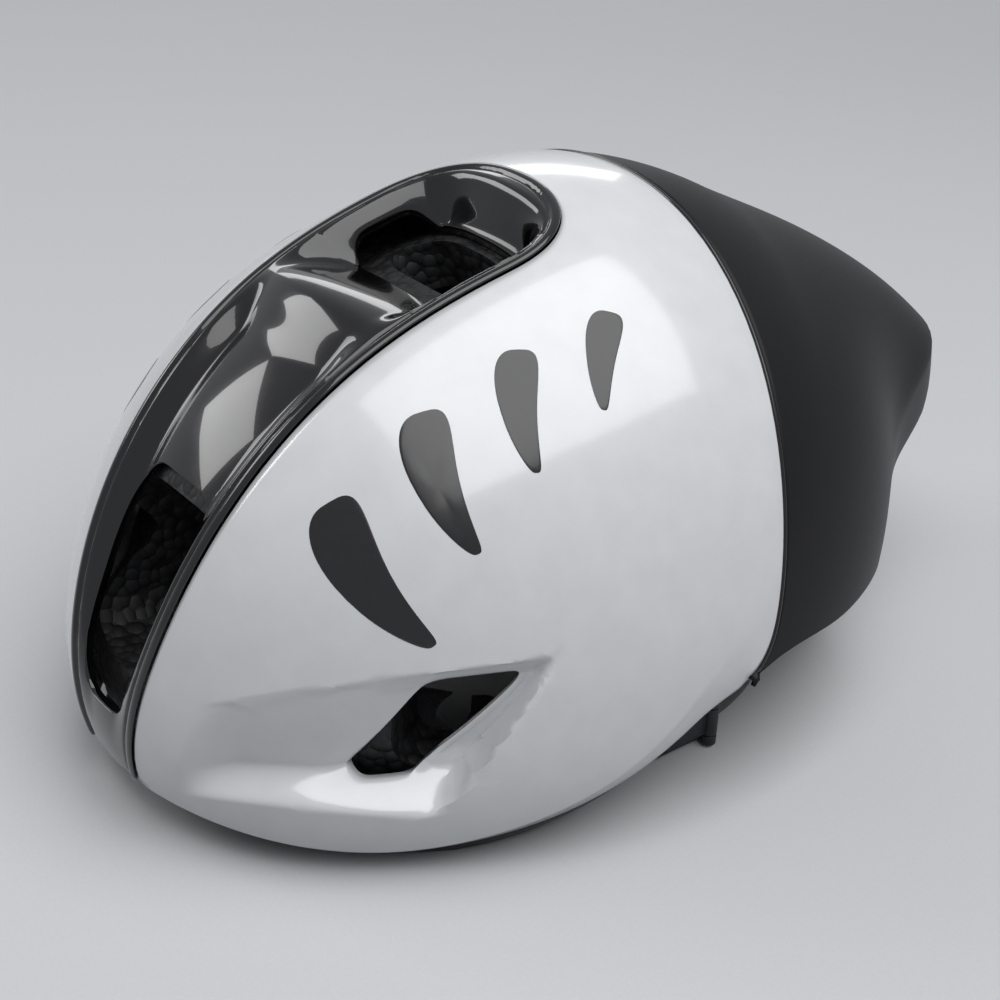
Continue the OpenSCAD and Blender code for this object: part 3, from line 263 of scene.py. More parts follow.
class MeshMaker:
    """Gathers grids of points and faces, and makes one Blender mesh of them."""

    def __init__(self) -> None:
        """Starts empty."""
        self.points: list[Array] = []
        self.faces: list[Array] = []
        self.flats: list[Array] = []
        self.count = 0

    def add(self, points: Array, flat: Array | None = None) -> Array:
        """Adds points in millimetres, with their cloth coordinates where they have them.

        Args:
            points: an array whose last axis is X, Y, Z.
            flat: an array of the same shape whose last axis is across and along the cloth.

        Returns:
            The points' numbers, in the shape of the grid.
        """
        shape = points.shape[:-1]
        ids = self.count + np.arange(int(np.prod(shape))).reshape(shape)
        self.points.append(points.reshape(-1, 3))
        self.flats.append(np.zeros((ids.size, 2)) if flat is None else flat.reshape(-1, 2))
        self.count += ids.size
        return ids

    def skin(self, ids: Array, keep: Array | None = None, ring: bool = False) -> None:
        """Lays one face on each cell of a grid of point numbers.

        Args:
            ids: the grid of numbers.
            keep: which cells get a face; all of them without it.
            ring: whether the last column joins the first.
        """
        if ring:
            ids = np.concatenate([ids, ids[:, :1]], axis=1)
        quads = np.stack([ids[:-1, :-1], ids[:-1, 1:], ids[1:, 1:], ids[1:, :-1]], axis=-1)
        quads = quads.reshape(-1, 4)
        self.faces.append(quads if keep is None else quads[keep.reshape(-1)])

    def grid(self, points: Array, ring: bool = False, flat: Array | None = None) -> Array:
        """Adds a grid of points and skins it, and returns the points' numbers."""
        ids = self.add(points, flat)
        self.skin(ids, ring=ring)
        return ids

    def tube(self, rings: Array, closed: bool = False, flat: Array | None = None) -> Array:
        """Skins rings of points and caps the ends, unless the tube closes on itself."""
        ids = self.add(rings, flat)
        self.skin(np.concatenate([ids, ids[:1]]) if closed else ids, ring=True)
        if not closed:
            for row in (0, -1):
                middle = self.add(rings[row].mean(axis=0)[None])
                self.skin(np.stack([ids[row], np.repeat(middle, ids.shape[1])]), ring=True)
        return ids

    def lead(self, ids: Array, loop: tuple[Array, Array], points: Array) -> Array:
        """Adds rings of points within a window's loop, skins them from the loop inwards, and
        returns their numbers."""
        rows = self.add(points)
        self.skin(np.concatenate([ids[loop][None], rows]), ring=True)
        return rows

    def build(self, name: str, material: bpy.types.Material, outward: Array | None = None,
              mirrored: bool = False, smooth: float = 40.0) -> bpy.types.Object:
        """Makes the object, with doubles merged and faces turned outwards.

        Args:
            name: the piece's name.
            material: its finish.
            outward: for an open sheet, the point that its faces look away from.
            mirrored: whether the other half is added across the middle plane.
            smooth: the largest angle in degrees over which the shading stays smooth.

        Returns:
            The new object, standing at the origin.
        """
        points = np.concatenate(self.points)
        faces = np.concatenate(self.faces)
        flats = np.concatenate(self.flats)
        if mirrored:
            faces = np.concatenate([faces, faces[:, ::-1] + len(points)])
            points = np.concatenate([points, points * [-1, 1, 1]])
            flats = np.concatenate([flats, flats])
        mesh = bpy.data.meshes.new(name)
        mesh.from_pydata((points * MM).tolist(), [], faces.tolist())
        layer = mesh.uv_layers.new(name="cloth")
        corner = np.zeros(len(mesh.loops), np.int32)
        mesh.loops.foreach_get("vertex_index", corner)
        layer.data.foreach_set("uv", (flats[corner] * MM).reshape(-1).astype(np.float32))
        made = stand(name, mesh)
        mesh.materials.append(material)
        work = bmesh.new()
        work.from_mesh(mesh)
        bmesh.ops.remove_doubles(work, verts=work.verts, dist=2e-6)
        bmesh.ops.dissolve_degenerate(work, edges=work.edges, dist=1e-7)
        bmesh.ops.recalc_face_normals(work, faces=work.faces)
        if outward is not None:
            eye = Vector(outward * MM)
            score = sum(f.normal.dot(f.calc_center_median() - eye) * f.calc_area()
                        for f in work.faces)
            if score < 0:
                bmesh.ops.reverse_faces(work, faces=work.faces)
        work.to_mesh(mesh)
        work.free()
        mesh.shade_smooth()
        mesh.set_sharp_from_angle(angle=math.radians(smooth))
        return made


def thicken(piece: bpy.types.Object, depth: float) -> bpy.types.Object:
    """Gives an open sheet a wall of depth millimetres on its inner side."""
    wall = piece.modifiers.new("wall", "SOLIDIFY")
    wall.thickness = depth * MM
    wall.offset = -1
    wall.use_even_offset = False
    return piece


def window(size: Array, reach: float) -> tuple[Array, tuple[Array, Array]]:
    """Finds the cells of a grid that a window covers, and the loop of points round them.

    Args:
        size: each grid point's size, measured from the window's middle or from its edge.
        reach: the size up to which the cells are cleared.

    Returns:
        The cleared cells, and the loop's rows and columns in the grid.
    """
    rows, cols = np.where(size < reach)
    i0, i1, j0, j1 = rows.min(), rows.max(), cols.min(), cols.max()
    cleared = np.zeros((size.shape[0] - 1, size.shape[1] - 1), bool)
    cleared[i0:i1, j0:j1] = True
    loop = ([(i0, j) for j in range(j0, j1)] + [(i, j1) for i in range(i0, i1)]
            + [(i1, j) for j in range(j1, j0, -1)] + [(i, j0) for i in range(i1, i0, -1)])
    return cleared, tuple(np.array(loop).T)


def to_edge(at: Array, exponent: float) -> Array:
    """The point of the superellipse of size 1 that lies in the same direction as a point."""
    size = (np.abs(at[..., 0]) ** exponent + np.abs(at[..., 1]) ** exponent) ** (1 / exponent)
    return at / size[..., None]


def opening(at: Array, exponent: float, reach: float, steps: tuple[float, ...]
            ) -> tuple[Array, tuple[Array, Array], Array]:
    """Clears a superellipse opening in a grid and lays rings from there to its edge.

    Args:
        at: each grid point's two coordinates, in which the opening has size 1.
        exponent: the superellipse's exponent.
        reach: the size up to which the cells are cleared.
        steps: each ring's share of the way from the cleared cells to the edge.

    Returns:
        The cleared cells, the loop round them, and the rings' coordinates.
    """
    cleared, loop = window(np.abs(at).max(axis=-1), reach)
    start = at[loop]
    return cleared, loop, mix(start, to_edge(start, exponent), np.array(steps)[:, None, None])


def add_node(tree: bpy.types.NodeTree, kind: str, links: dict | None = None,
             **settings: object) -> bpy.types.Node:
    """Adds a node, sets its settings, and fills its inputs with values or linked sockets."""
    made = tree.nodes.new(kind)
    for key, value in settings.items():
        setattr(made, key, value)
    for key, value in (links or {}).items():
        if isinstance(value, bpy.types.NodeSocket):
            tree.links.new(value, made.inputs[key])
        else:
            made.inputs[key].default_value = value
    return made


def calc(tree: bpy.types.NodeTree, operation: str, *values: object) -> bpy.types.NodeSocket:
    """Adds a maths node over numbers or sockets, and returns its result."""
    return add_node(tree, "ShaderNodeMath", dict(enumerate(values)),
                    operation=operation).outputs[0]


def linear(code: str) -> tuple[float, float, float, float]:
    """An sRGB hex colour as linear red, green, blue and full alpha."""
    parts = [int(code[i:i + 2], 16) / 255 for i in (1, 3, 5)]
    return (*[c / 12.92 if c <= 0.04045 else ((c + 0.055) / 1.055) ** 2.4 for c in parts], 1.0)


def two_tone(tree: bpy.types.NodeTree, factor: bpy.types.NodeSocket, first: str, second: str,
             span: tuple[float, float]) -> bpy.types.NodeSocket:
    """A ramp between two sRGB hex colours over a span of the factor, and its colour output."""
    ramp = add_node(tree, "ShaderNodeValToRGB", {"Fac": factor})
    for stop, place, code in zip(ramp.color_ramp.elements, span, (first, second)):
        stop.position = place
        stop.color = linear(code)
    return ramp.outputs["Color"]


def object_place(tree: bpy.types.NodeTree) -> bpy.types.NodeSocket:
    """The shaded point in the object's own coordinates."""
    return add_node(tree, "ShaderNodeTexCoord").outputs["Object"]


def cloth_place(tree: bpy.types.NodeTree) -> tuple:
    """The shaded point's places across and along the cloth."""
    cloth = add_node(tree, "ShaderNodeUVMap", uv_map="cloth").outputs["UV"]
    parts = add_node(tree, "ShaderNodeSeparateXYZ", {"Vector": cloth})
    return parts.outputs["X"], parts.outputs["Y"]


def ride_and_replace(piece: bpy.types.Object, body: str, slot: str, *nodes: str) -> None:
    """Fixes a new piece to its body in place of CAD nodes, which it hides."""
    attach(piece, body)
    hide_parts(*nodes)


@dataclass(frozen=True)
class Finish:
    """A surface finish: two near colours that a fine pattern mixes, and the shader's values.

    size is the pattern's real size in millimetres, and relief is how deep it goes."""

    name: str
    colour: str
    second: str
    roughness: float
    size: float = 4.0
    relief: float = 0.0
    metallic: float = 0.0
    ior: float = 1.5
    coat: float = 0.0
    coat_roughness: float = 0.03
    sheen: float = 0.0
    specular: float = 0.5
    spread: float = 0.04

    def pattern(self, tree: bpy.types.NodeTree) -> bpy.types.NodeSocket:
        """The pattern, which mixes the colours and gives the height: a soft noise."""
        noise = add_node(tree, "ShaderNodeTexNoise", {
            "Vector": object_place(tree), "Scale": 1 / (self.size * MM), "Detail": 3.0})
        return noise.outputs["Fac"]

    def build(self) -> bpy.types.Material:
        """Makes the material from the pattern and the shader's values."""
        made = bpy.data.materials.new(self.name)
        made.use_nodes = True
        tree = made.node_tree
        shader = tree.nodes["Principled BSDF"]
        factor = self.pattern(tree)
        colour = two_tone(tree, factor, self.colour, self.second, (0.3, 0.7))
        tree.links.new(colour, shader.inputs["Base Color"])
        rough = add_node(tree, "ShaderNodeMapRange",
                         {"Value": factor, "To Min": max(self.roughness - self.spread, 0.02),
                          "To Max": self.roughness + self.spread})
        tree.links.new(rough.outputs["Result"], shader.inputs["Roughness"])
        if self.relief:
            bump = add_node(tree, "ShaderNodeBump",
                            {"Height": factor, "Strength": 1.0, "Distance": self.relief * MM})
            tree.links.new(bump.outputs["Normal"], shader.inputs["Normal"])
        values = {"Metallic": self.metallic, "IOR": self.ior, "Coat Weight": self.coat,
                  "Coat Roughness": self.coat_roughness, "Sheen Weight": self.sheen,
                  "Specular IOR Level": self.specular}
        for key, value in values.items():
            shader.inputs[key].default_value = value
        return made


@dataclass(frozen=True)
class BeadFoam(Finish):
    """Moulded expanded polystyrene: flattened beads of 2 to 3 mm with fine dark gaps."""

    def pattern(self, tree: bpy.types.NodeTree) -> bpy.types.NodeSocket:
        """Round beads: 1 less twice the squared distance from each bead's middle, so that
        the beads are full domes and only the seams between them are dark."""
        cells = add_node(tree, "ShaderNodeTexVoronoi", {
            "Vector": object_place(tree), "Scale": 1 / (self.size * MM), "Randomness": 0.8},
            feature="F1")
        away = cells.outputs["Distance"]
        dome = add_node(tree, "ShaderNodeMapRange", {
            "Value": calc(tree, "MULTIPLY", away, away), "From Max": 0.5, "To Min": 1.0,
            "To Max": 0.0})
        return dome.outputs["Result"]


@dataclass(frozen=True)
class Webbing(Finish):
    """Woven polyester webbing: ribs across the band, as wide as the yarn, and two edges."""

    def pattern(self, tree: bpy.types.NodeTree) -> bpy.types.NodeSocket:
        """Slanted ribs that turn back at the band's middle, read from the cloth's own map."""
        across, along = cloth_place(tree)
        lean = calc(tree, "ADD", calc(tree, "ABSOLUTE", across), along)
        wave = calc(tree, "SINE", calc(tree, "MULTIPLY", lean, 2 * math.pi / (self.size * MM)))
        rib = add_node(tree, "ShaderNodeMapRange", {"Value": wave, "From Min": -1.0})
        return rib.outputs["Result"]


@dataclass(frozen=True)
class Knit(Finish):
    """Brushed warp knit over foam: small staggered loops, read from the cloth's own map."""

    def pattern(self, tree: bpy.types.NodeTree) -> bpy.types.NodeSocket:
        """Two crossed waves, one along and one across, multiplied into rows of loops."""
        pitch = 2 * math.pi / (self.size * MM)
        waves = [calc(tree, "SINE", calc(tree, "MULTIPLY", place, pitch * stretch))
                 for place, stretch in zip(cloth_place(tree), (1.0, 0.7))]
        loops = add_node(tree, "ShaderNodeMapRange",
                         {"Value": calc(tree, "MULTIPLY", *waves), "From Min": -1.0})
        return loops.outputs["Result"]


class Finishes:
    """Every finish of the helmet, made once."""

    def __init__(self) -> None:
        """Builds the materials."""
        # In-mould polycarbonate skin, white under clear lacquer: a wet look with a faint peel
        self.white = Finish("lacquered_white_polycarbonate", "#E6E8EB", "#EBEDEF", 0.24,
                            size=9.0, relief=0.012, coat=1.0, coat_roughness=0.1).build()
        # The same skin in black: a dark mirror that shows the lights as long streaks
        self.gloss = Finish("lacquered_black_polycarbonate", "#040405", "#070708", 0.16,
                            size=9.0, relief=0.01, coat=1.0, specular=0.2).build()
        # Matte-lacquered polycarbonate: soft wide highlights over a fine grain
        self.matte = Finish("matte_lacquered_polycarbonate", "#08080A", "#0D0D0F", 0.46,
                            size=0.9, relief=0.012, ior=1.46, specular=0.28).build()
        # Satin black film of the side marks
        self.film = Finish("satin_black_film", "#101012", "#151517", 0.24, size=2.0,
                           relief=0.004, coat=0.3, coat_roughness=0.12).build()
        # Soft black edge trim, moulded thermoplastic elastomer
        self.trim = Finish("moulded_elastomer_trim", "#17171A", "#1D1D20", 0.5, size=0.7,
                           relief=0.02).build()
        # Black expanded polystyrene beads, as they come out of a steam mould
        self.foam = BeadFoam("steam_moulded_black_polystyrene", "#0A0A0B", "#1B1C1F", 0.6,
                             size=3.4, relief=0.5, spread=0.06).build()
        # Brushed knit laminated on pad foam
        self.knit = Knit("brushed_knit_on_foam", "#1B1C20", "#303238", 0.9, size=1.0,
                         relief=0.12, sheen=0.35).build()
        # Thin polyester webbing in herringbone
        self.webbing = Webbing("herringbone_polyester_webbing", "#0E0E10", "#2A2B2F", 0.7,
                               size=1.3, relief=0.16, sheen=0.25).build()
        # Nylon moulded against a spark-eroded tool: an even fine grain
        self.nylon = Finish("spark_textured_nylon", "#18191B", "#232427", 0.46, size=0.5,
                            relief=0.03, spread=0.08).build()
        # Bare acetal, whitish and waxy
        self.acetal = Finish("natural_acetal", "#D9D8D0", "#E2E1DA", 0.32, size=3.0,
                             relief=0.004).build()
        # Rubber grip with a dull dusty surface
        self.rubber = Finish("soft_touch_rubber", "#151516", "#202022", 0.72, size=0.4,
                             relief=0.03).build()
        # Zinc-plated steel of screws and pins
        self.steel = Finish("zinc_plated_steel", "#B9BCC0", "#C6C8CB", 0.3, size=0.6,
                            metallic=1.0).build()
        # Nickel plating of the magnets
        self.nickel = Finish("nickel_plate", "#C9C5BA", "#D2CEC3", 0.16, size=1.0,
                             metallic=1.0).build()


@dataclass
class CentreSpine:
    """The black spine with its front slot, channel, raised bridge and top scoop."""

    halves: tuple[float, ...] = (7.5, 8.5, 23.5, 28.5, 32.5, 34.5, 34.5)
    halves_first: float = -40.0
    halves_pitch: float = 25.0
    low: float = -7.0
    end: float = 86.0
    end_round: float = 16.0
    end_power: float = 0.77
    side_share: float = 0.75
    channel_depth: float = 6.0
    scoop_depth: float = 14.0
    slot: tuple[float, float] = (0.0, 27.0)
    scoop: tuple[float, float] = (62.0, 78.0)
    slot_share: float = 0.65
    scoop_share: float = 0.8
    bead_height: float = 0.9
    bead_width: float = 3.0
    groove_depth: float = 0.5
    flank: float = 7.5
    roll: tuple[float, ...] = (0, 0, 0, 0, 0, 0.3, 2.2)

    def theta(self, q: Array) -> Array:
        """The outline's theta: even along the side, then a sine power round the end."""
        part = np.clip((q - self.side_share) / (1 - self.side_share), 0, 1)
        start = self.end - self.end_round
        along = mix(self.low, start, np.minimum(q / self.side_share, 1))
        round_end = np.maximum(sind(90 * part), 0) ** self.end_power
        return np.where(q < self.side_share, along, mix(start, self.end, round_end))

    def side(self, theta: Array) -> Array:
        """Half of the spine's width at a theta, before its end is rounded."""
        return spline(self.halves, theta, self.halves_first, self.halves_pitch)

    def half(self, q: Array) -> Array:
        """Half of the spine's width, drawn in round its end by a cosine power."""
        part = np.clip((q - self.side_share) / (1 - self.side_share), 0, 1)
        return self.side(self.theta(q)) * np.maximum(cosd(90 * part), 0) ** self.end_power

    def phi(self, q: Array, inset: float = 0.0) -> Array:
        """The outline's phi, from the half-width over the reach, in two rounds."""
        x = np.maximum(self.half(q) - inset, 0)
        first = np.degrees(np.arcsin(x / FORM.reach(self.theta(q), np.full_like(q, 12.0))))
        return np.degrees(np.arcsin(x / FORM.reach(self.theta(q), first)))

    def outline(self) -> Array:
        """The spine's edge on the skin as one line of points, both sides."""
        q = blocks((0, 0.75, 260), (0.75, 1, 120))
        side = FORM.on_skin(self.theta(q), self.phi(q))
        return np.concatenate([side, side[::-1] * [-1, 1, 1]])

    def depth(self, theta: Array) -> Array:
        """Depth of the spine's middle below the skin: the channel, then the scoop."""
        channel = (self.channel_depth * soft_step((theta - self.slot[0] + 6) / 20)
                   * (1 - soft_step((theta - 44) / 10)))
        scoop = (self.scoop_depth * soft_step((theta - 52) / (self.scoop[0] - 50))
                 * (1 - soft_step((theta - self.scoop[1]) / 5)))
        return channel + scoop

    def offset(self, theta: Array, phi: Array, edge: Array) -> Array:
        """Height over the skin: a rounded bead along the outline, a fine groove inside it,
        and a flank that sinks towards the middle."""
        p = FORM.on_skin(theta, phi)
        away = nearest(p, edge)
        round_bead = (away - self.bead_width / 2) / (self.bead_width / 2)
        bead = self.bead_height * np.sqrt(np.clip(1 - round_bead ** 2, 0, 1))
        groove = self.groove_depth * np.exp(-((away - self.bead_width - 0.7) / 0.45) ** 2)
        sink = self.depth(theta) * soft_step((away - self.bead_width - 0.6) / self.flank)
        return bead - groove - sink

    def build(self, finishes: Finishes) -> bpy.types.Object:
        """Makes the spine with its two openings."""
        edge = self.outline()
        q = blocks((0, 0.75, 190), (0.75, 0.93, 40), (0.93, 0.9996, 26))
        share = blocks((-1, -0.8, 16), (-0.8, 0.8, 52), (0.8, 1, 16))
        theta = np.repeat(self.theta(q)[:, None], len(share), axis=1)
        phi = self.phi(q, FORM.seam_gap / 2)[:, None] * share
        maker = MeshMaker()
        ids = maker.add(FORM.on_skin(theta, phi, self.offset(theta, phi, edge)))
        keep = np.ones((len(q) - 1, len(share) - 1), bool)
        for span, part in ((self.slot, self.slot_share), (self.scoop, self.scoop_share)):
            mid, half = (span[0] + span[1]) / 2, (span[1] - span[0]) / 2
            at = np.stack([(theta - mid) / half, share[None] / part + 0 * theta], axis=-1)
            cleared, loop, ring = opening(at, 5.0, 1.12, (0.25, 0.5, 0.7, 0.85, 0.94, 1, 1))
            keep &= ~cleared
            ring_theta = mid + half * ring[..., 0]
            ring_phi = self.phi_at(ring_theta) * ring[..., 1] * part
            off = self.offset(ring_theta, ring_phi, edge) - np.array(self.roll)[:, None]
            maker.lead(ids, loop, FORM.on_skin(ring_theta, ring_phi, off))
        maker.skin(ids, keep)
        piece = maker.build("spine_shell", finishes.gloss, outward=FORM.centre)
        return thicken(piece, FORM.skin)

    def phi_at(self, theta: Array) -> Array:
        """The outline's phi at a theta, read off the outline by interpolation."""
        q = np.linspace(0, 1, 2000)
        return np.interp(theta, self.theta(q), self.phi(q, FORM.seam_gap / 2))


def nearest(points: Array, line: Array) -> Array:
    """The distance from each point to the nearest stretch of a line of points."""
    flat = points.reshape(-1, 3)
    a, b = line[:-1], line[1:]
    ab = b - a
    length = np.maximum((ab ** 2).sum(-1), 1e-12)
    found = np.empty(len(flat))
    for start in range(0, len(flat), 4000):
        p = flat[start:start + 4000, None]
        t = np.clip(((p - a) * ab).sum(-1) / length, 0, 1)
        found[start:start + 4000] = np.sqrt((((p - a) - t[..., None] * ab) ** 2).sum(-1).min(1))
    return found.reshape(points.shape[:-1])


@dataclass
class UpperShell:
    """The white shell between the spine, the rim and the rear seam, with its side recess
    and vents."""

    spine: CentreSpine
    recess_depth: float = 9.0
    crease_top: float = 66.5
    crease_rear: float = 66.0
    recess_length: float = 69.0
    lip_step: float = 0.7
    pocket_depth: float = 2.6
    pocket_ahead: float = 115.0
    wall_width: float = 4.0
    wall_back: float = 4.5
    vent_z: float = 46.0
    vent_ahead: float = 91.0
    vent_h: float = 32.0
    vent_l: float = 17.5
    vent_back: float = 3.0
    vent_clear: float = 11.0
    tip_turn: float = 6.3
    ear_share: float = 0.55
    ear_q: float = 0.62
    crease_share: float = 0.9

    def crease(self, y: Array) -> Array:
        """Height of the recess's upper crease, which drops towards the front by a power."""
        ahead = np.clip((-self.crease_rear - y) / self.recess_length, 0, 1.2)
        return self.crease_top - 15 * ahead ** 2.7

    def wall_top(self, z: Array) -> Array:
        """Place along Y of the rear wall's upper edge at a height."""
        return self.wall_back - self.crease_rear - 0.72 * (self.crease_top - z)

    def floor(self, p: Array) -> Array:
        """Depth of the recess ahead of its rear wall: a small step under its upper crease, a
        floor that deepens downwards, and a pocket round the vent, between a front edge and a
        soft ledge."""
        x, y, z = np.abs(p[..., 0]), p[..., 1], p[..., 2]
        under = self.crease(y) - z
        front = 30 + 0.24 * (z - 25)
        ledge = 25 - 5 * ((x - 60) / 28) ** 2
        dip = y + self.pocket_ahead - 0.55 * (z - self.vent_z)
        floor = (self.recess_depth * np.clip(under / 28, 0, 1)
                 + self.lip_step * soft_step(under / 0.9)
                 + self.pocket_depth * soft_step(dip / 8) * soft_step(under / 5))
        return floor * soft_step((x - front) / 12) * soft_step((z - ledge) / 9)

    def recess(self, p: Array) -> Array:
        """Depth of the whole recess: its floor, brought back to the skin by the rear wall."""
        rise = soft_step((self.wall_top(p[..., 2]) - p[..., 1]) / self.wall_width)
        return self.floor(p) * rise

    def vent_mid(self, z: Array) -> Array:
        """Place along Y of the slanted vent's middle line at a height."""
        return -self.vent_ahead + 0.64 * (z - self.vent_z)

    def vent_half(self, z: Array) -> Array:
        """Half of the vent's length at a height; it is longer towards its top."""
        return self.vent_l / 2 + 0.12 * (z - self.vent_z)

    def place(self, y: Array, z: Array, floored: bool) -> tuple[Array, Array]:
        """The angles of a surface point at a place along Y and a height, by halving X.

        Args:
            y: the places along Y.
            z: the heights.
            floored: whether the point lies on the recess's floor, or else on the plain skin.

        Returns:
            The two angles.
        """
        low, high = np.full_like(z, 30.0), np.full_like(z, 104.0)
        for _ in range(34):
            x = (low + high) / 2
            d = np.stack([x, y, z], axis=-1) - FORM.centre
            far = np.linalg.norm(d, axis=-1)
            theta, phi = FORM.angles(d / far[..., None])
            depth = self.floor(FORM.on_skin(theta, phi)) if floored else 0.0
            inside = far < FORM.reach(theta, phi) - depth
            low, high = np.where(inside, x, low), np.where(inside, high, x)
        return theta, phi

    def vent_edge(self, at: Array) -> Array:
        """Y and Z of the vent's edge carried out to the plain skin, and kept off the rear
        wall's foot. Its rear side stands vent_back further back than the vent's half length."""
        z = self.vent_z + self.vent_h / 2 * at[..., 1]
        y = (self.vent_mid(z) + self.vent_half(z) * at[..., 0]
             + self.vent_back * soft_step(at[..., 0]))
        spot = FORM.on_skin(*self.place(y, z, True))
        foot = self.wall_top(spot[..., 2]) - self.wall_width - 0.2
        return np.stack([np.minimum(spot[..., 1], foot), spot[..., 2]], axis=-1)

    def vent_rings(self, edge: Array, nodes: Array, away: Array) -> tuple[Array, Array]:
        """The angles of lines round the vent at even distances from its edge.

        Args:
            edge: Y and Z of the edge on the plain skin, one dense closed row.
            nodes: Y and Z of the points that the lines lead to. Each one's line point lies
                between it and the edge's nearest point.
            away: the lines' distances from the edge in millimetres.

        Returns:
            The two angles of every line's points.
        """
        first, step = edge[:-1], np.diff(edge, axis=0)
        t = ((nodes[:, None] - first) * step).sum(-1) / np.maximum((step ** 2).sum(-1), 1e-12)
        spots = first + np.clip(t, 0, 1)[..., None] * step
        best = np.linalg.norm(nodes[:, None] - spots, axis=-1).argmin(axis=1)
        foot = spots[np.arange(len(nodes)), best]
        lines = foot[None] + away[:, None, None] * unit(nodes - foot)[None]
        return self.place(lines[..., 0], lines[..., 1], False)

    def inner(self, s: Array) -> tuple[Array, Array]:
        """The edge along the spine, from the front tip round to its rear end on the middle
        plane."""
        q = np.where(s < self.ear_share, self.ear_q * s / self.ear_share,
                     mix(self.ear_q, 1, (s - self.ear_share) / (1 - self.ear_share)))
        phi = self.spine.phi(q, -FORM.seam_gap / 2)
        return self.spine.theta(q) + 0.2 * soft_step((s - 0.97) / 0.03), np.where(s < 1, phi, 0)

    def outer(self, s: Array) -> tuple[Array, Array]:
        """The other edge: the rim up to the ear, then the rear seam up to the crown."""
        rim = FORM.rim_angles(mix(self.tip_turn, FORM.ear_turn,
                                  np.minimum(s / self.ear_share, 1)))
        seam = FORM.seam(1 - np.clip((s - self.ear_share) / (1 - self.ear_share), 0, 1))
        return tuple(np.where(s < self.ear_share, a, b) for a, b in zip(rim, seam))

    def tuck(self, s: Array, t: Array) -> Array:
        """How far the edge is drawn in below its lower crease, less along the rear seam."""
        fall = 0.98 * np.clip((t - self.crease_share) / (1 - self.crease_share), 0, 1) ** 0.9
        return fall * mix(FORM.tuck, 0.2, soft_step((s - self.ear_share + 0.05) / 0.08))

    def rows(self, s: Array) -> Array:
        """Each row's share t in every column. One row lies on the recess's upper crease,
        found where the skin falls below it, and its neighbours close in on it."""
        a, b = self.inner(s), self.outer(s)
        # Shares at which the crease is looked for, down each column
        fine = np.linspace(0.3, self.crease_share - 0.02, 400)
        p = FORM.on_skin(mix(a[0], b[0], fine[:, None]), mix(a[1], b[1], fine[:, None]))
        below = p[..., 2] < self.crease(p[..., 1])
        found = np.where(below.any(axis=0), fine[below.argmax(axis=0)], fine[-1])
        # The columns that cross the recess; the rest carry on from the nearest of them
        inside = (s > 0.05) & (s < 0.37)
        found = np.interp(s, s[inside], found[inside])
        kernel = np.ones(7) / 7
        found = np.convolve(np.pad(found, 3, mode="edge"), kernel, mode="valid")
        # Rows above the crease, rows from it down to the fold, and rows of the tucked foot
        lower = self.crease_share - found
        k = np.concatenate([np.linspace(0, 1, 41)[:-1] ** 0.8 - 1, [0]])[:, None]
        above = found[None] * (1 + k)
        j = np.concatenate([[0.006, 0.013, 0.022, 0.033], np.linspace(0.045, 1, 62)])[:, None]
        foot = blocks((self.crease_share, 1, 12))[1:, None] + 0 * s[None]
        return np.concatenate([above, found[None] + lower[None] * j, foot])

    def build(self, finishes: Finishes) -> bpy.types.Object:
        """Makes the shell with a rolled edge round each vent."""
        s = blocks((0, 0.05, 6), (0.05, 0.36, 88), (0.36, self.ear_share, 22),
                   (self.ear_share, 0.94, 34), (0.94, 0.985, 10), (0.985, 1, 8))
        t = self.rows(s)
        a, b = self.inner(s), self.outer(s)
        theta = mix(a[0][None], b[0][None], t)
        phi = mix(a[1][None], b[1][None], t)
        skin = FORM.on_skin(theta, phi)
        maker = MeshMaker()
        ids = maker.add(FORM.on_skin(theta, phi, -self.recess(skin) - self.tuck(s[None], t)))
        low = FORM.on_skin(theta, phi, -self.floor(skin))
        z = low[..., 2]
        at = np.stack([(low[..., 1] - self.vent_mid(z)) / self.vent_half(z),
                       (z - self.vent_z) / (self.vent_h / 2)], axis=-1)
        turn = np.linspace(0, 2 * np.pi, 721)
        edge = self.vent_edge(to_edge(np.stack([np.cos(turn), np.sin(turn)], -1), 6.0))
        spread = nearest(skin * [0, 1, 1], np.insert(edge, 0, 0.0, axis=1))
        spread = np.where(np.abs(at).max(axis=-1) < 1, 0, spread)
        cleared, loop = window(spread, self.vent_clear)
        # Lines this far from the vent's edge, of which the last three roll into the opening
        away = np.array([9, 7.6, 6.4, 5.5, 4.8, 4.2, 3.6, 3.0, 2.4, 1.8, 1.2, 0.7, 0.3, 0, 0, 0])
        sunk = np.concatenate([np.zeros(17), [0.15, 0.5, 3.0]])[:, None]
        lines = np.stack(self.vent_rings(edge, skin[loop][:, 1:], away), axis=-1)
        steps = np.array([0.2, 0.4, 0.6, 0.8])[:, None, None]
        start = np.stack([theta, phi], axis=-1)[loop]
        ring = np.concatenate([mix(start, lines[:1], steps), lines])
        flat = FORM.on_skin(ring[..., 0], ring[..., 1])
        maker.lead(ids, loop, FORM.on_skin(ring[..., 0], ring[..., 1],
                                           -self.recess(flat) - sunk))
        maker.skin(ids, ~cleared)
        piece = maker.build("white_shell", finishes.white, outward=FORM.centre, mirrored=True)
        return thicken(piece, FORM.skin)


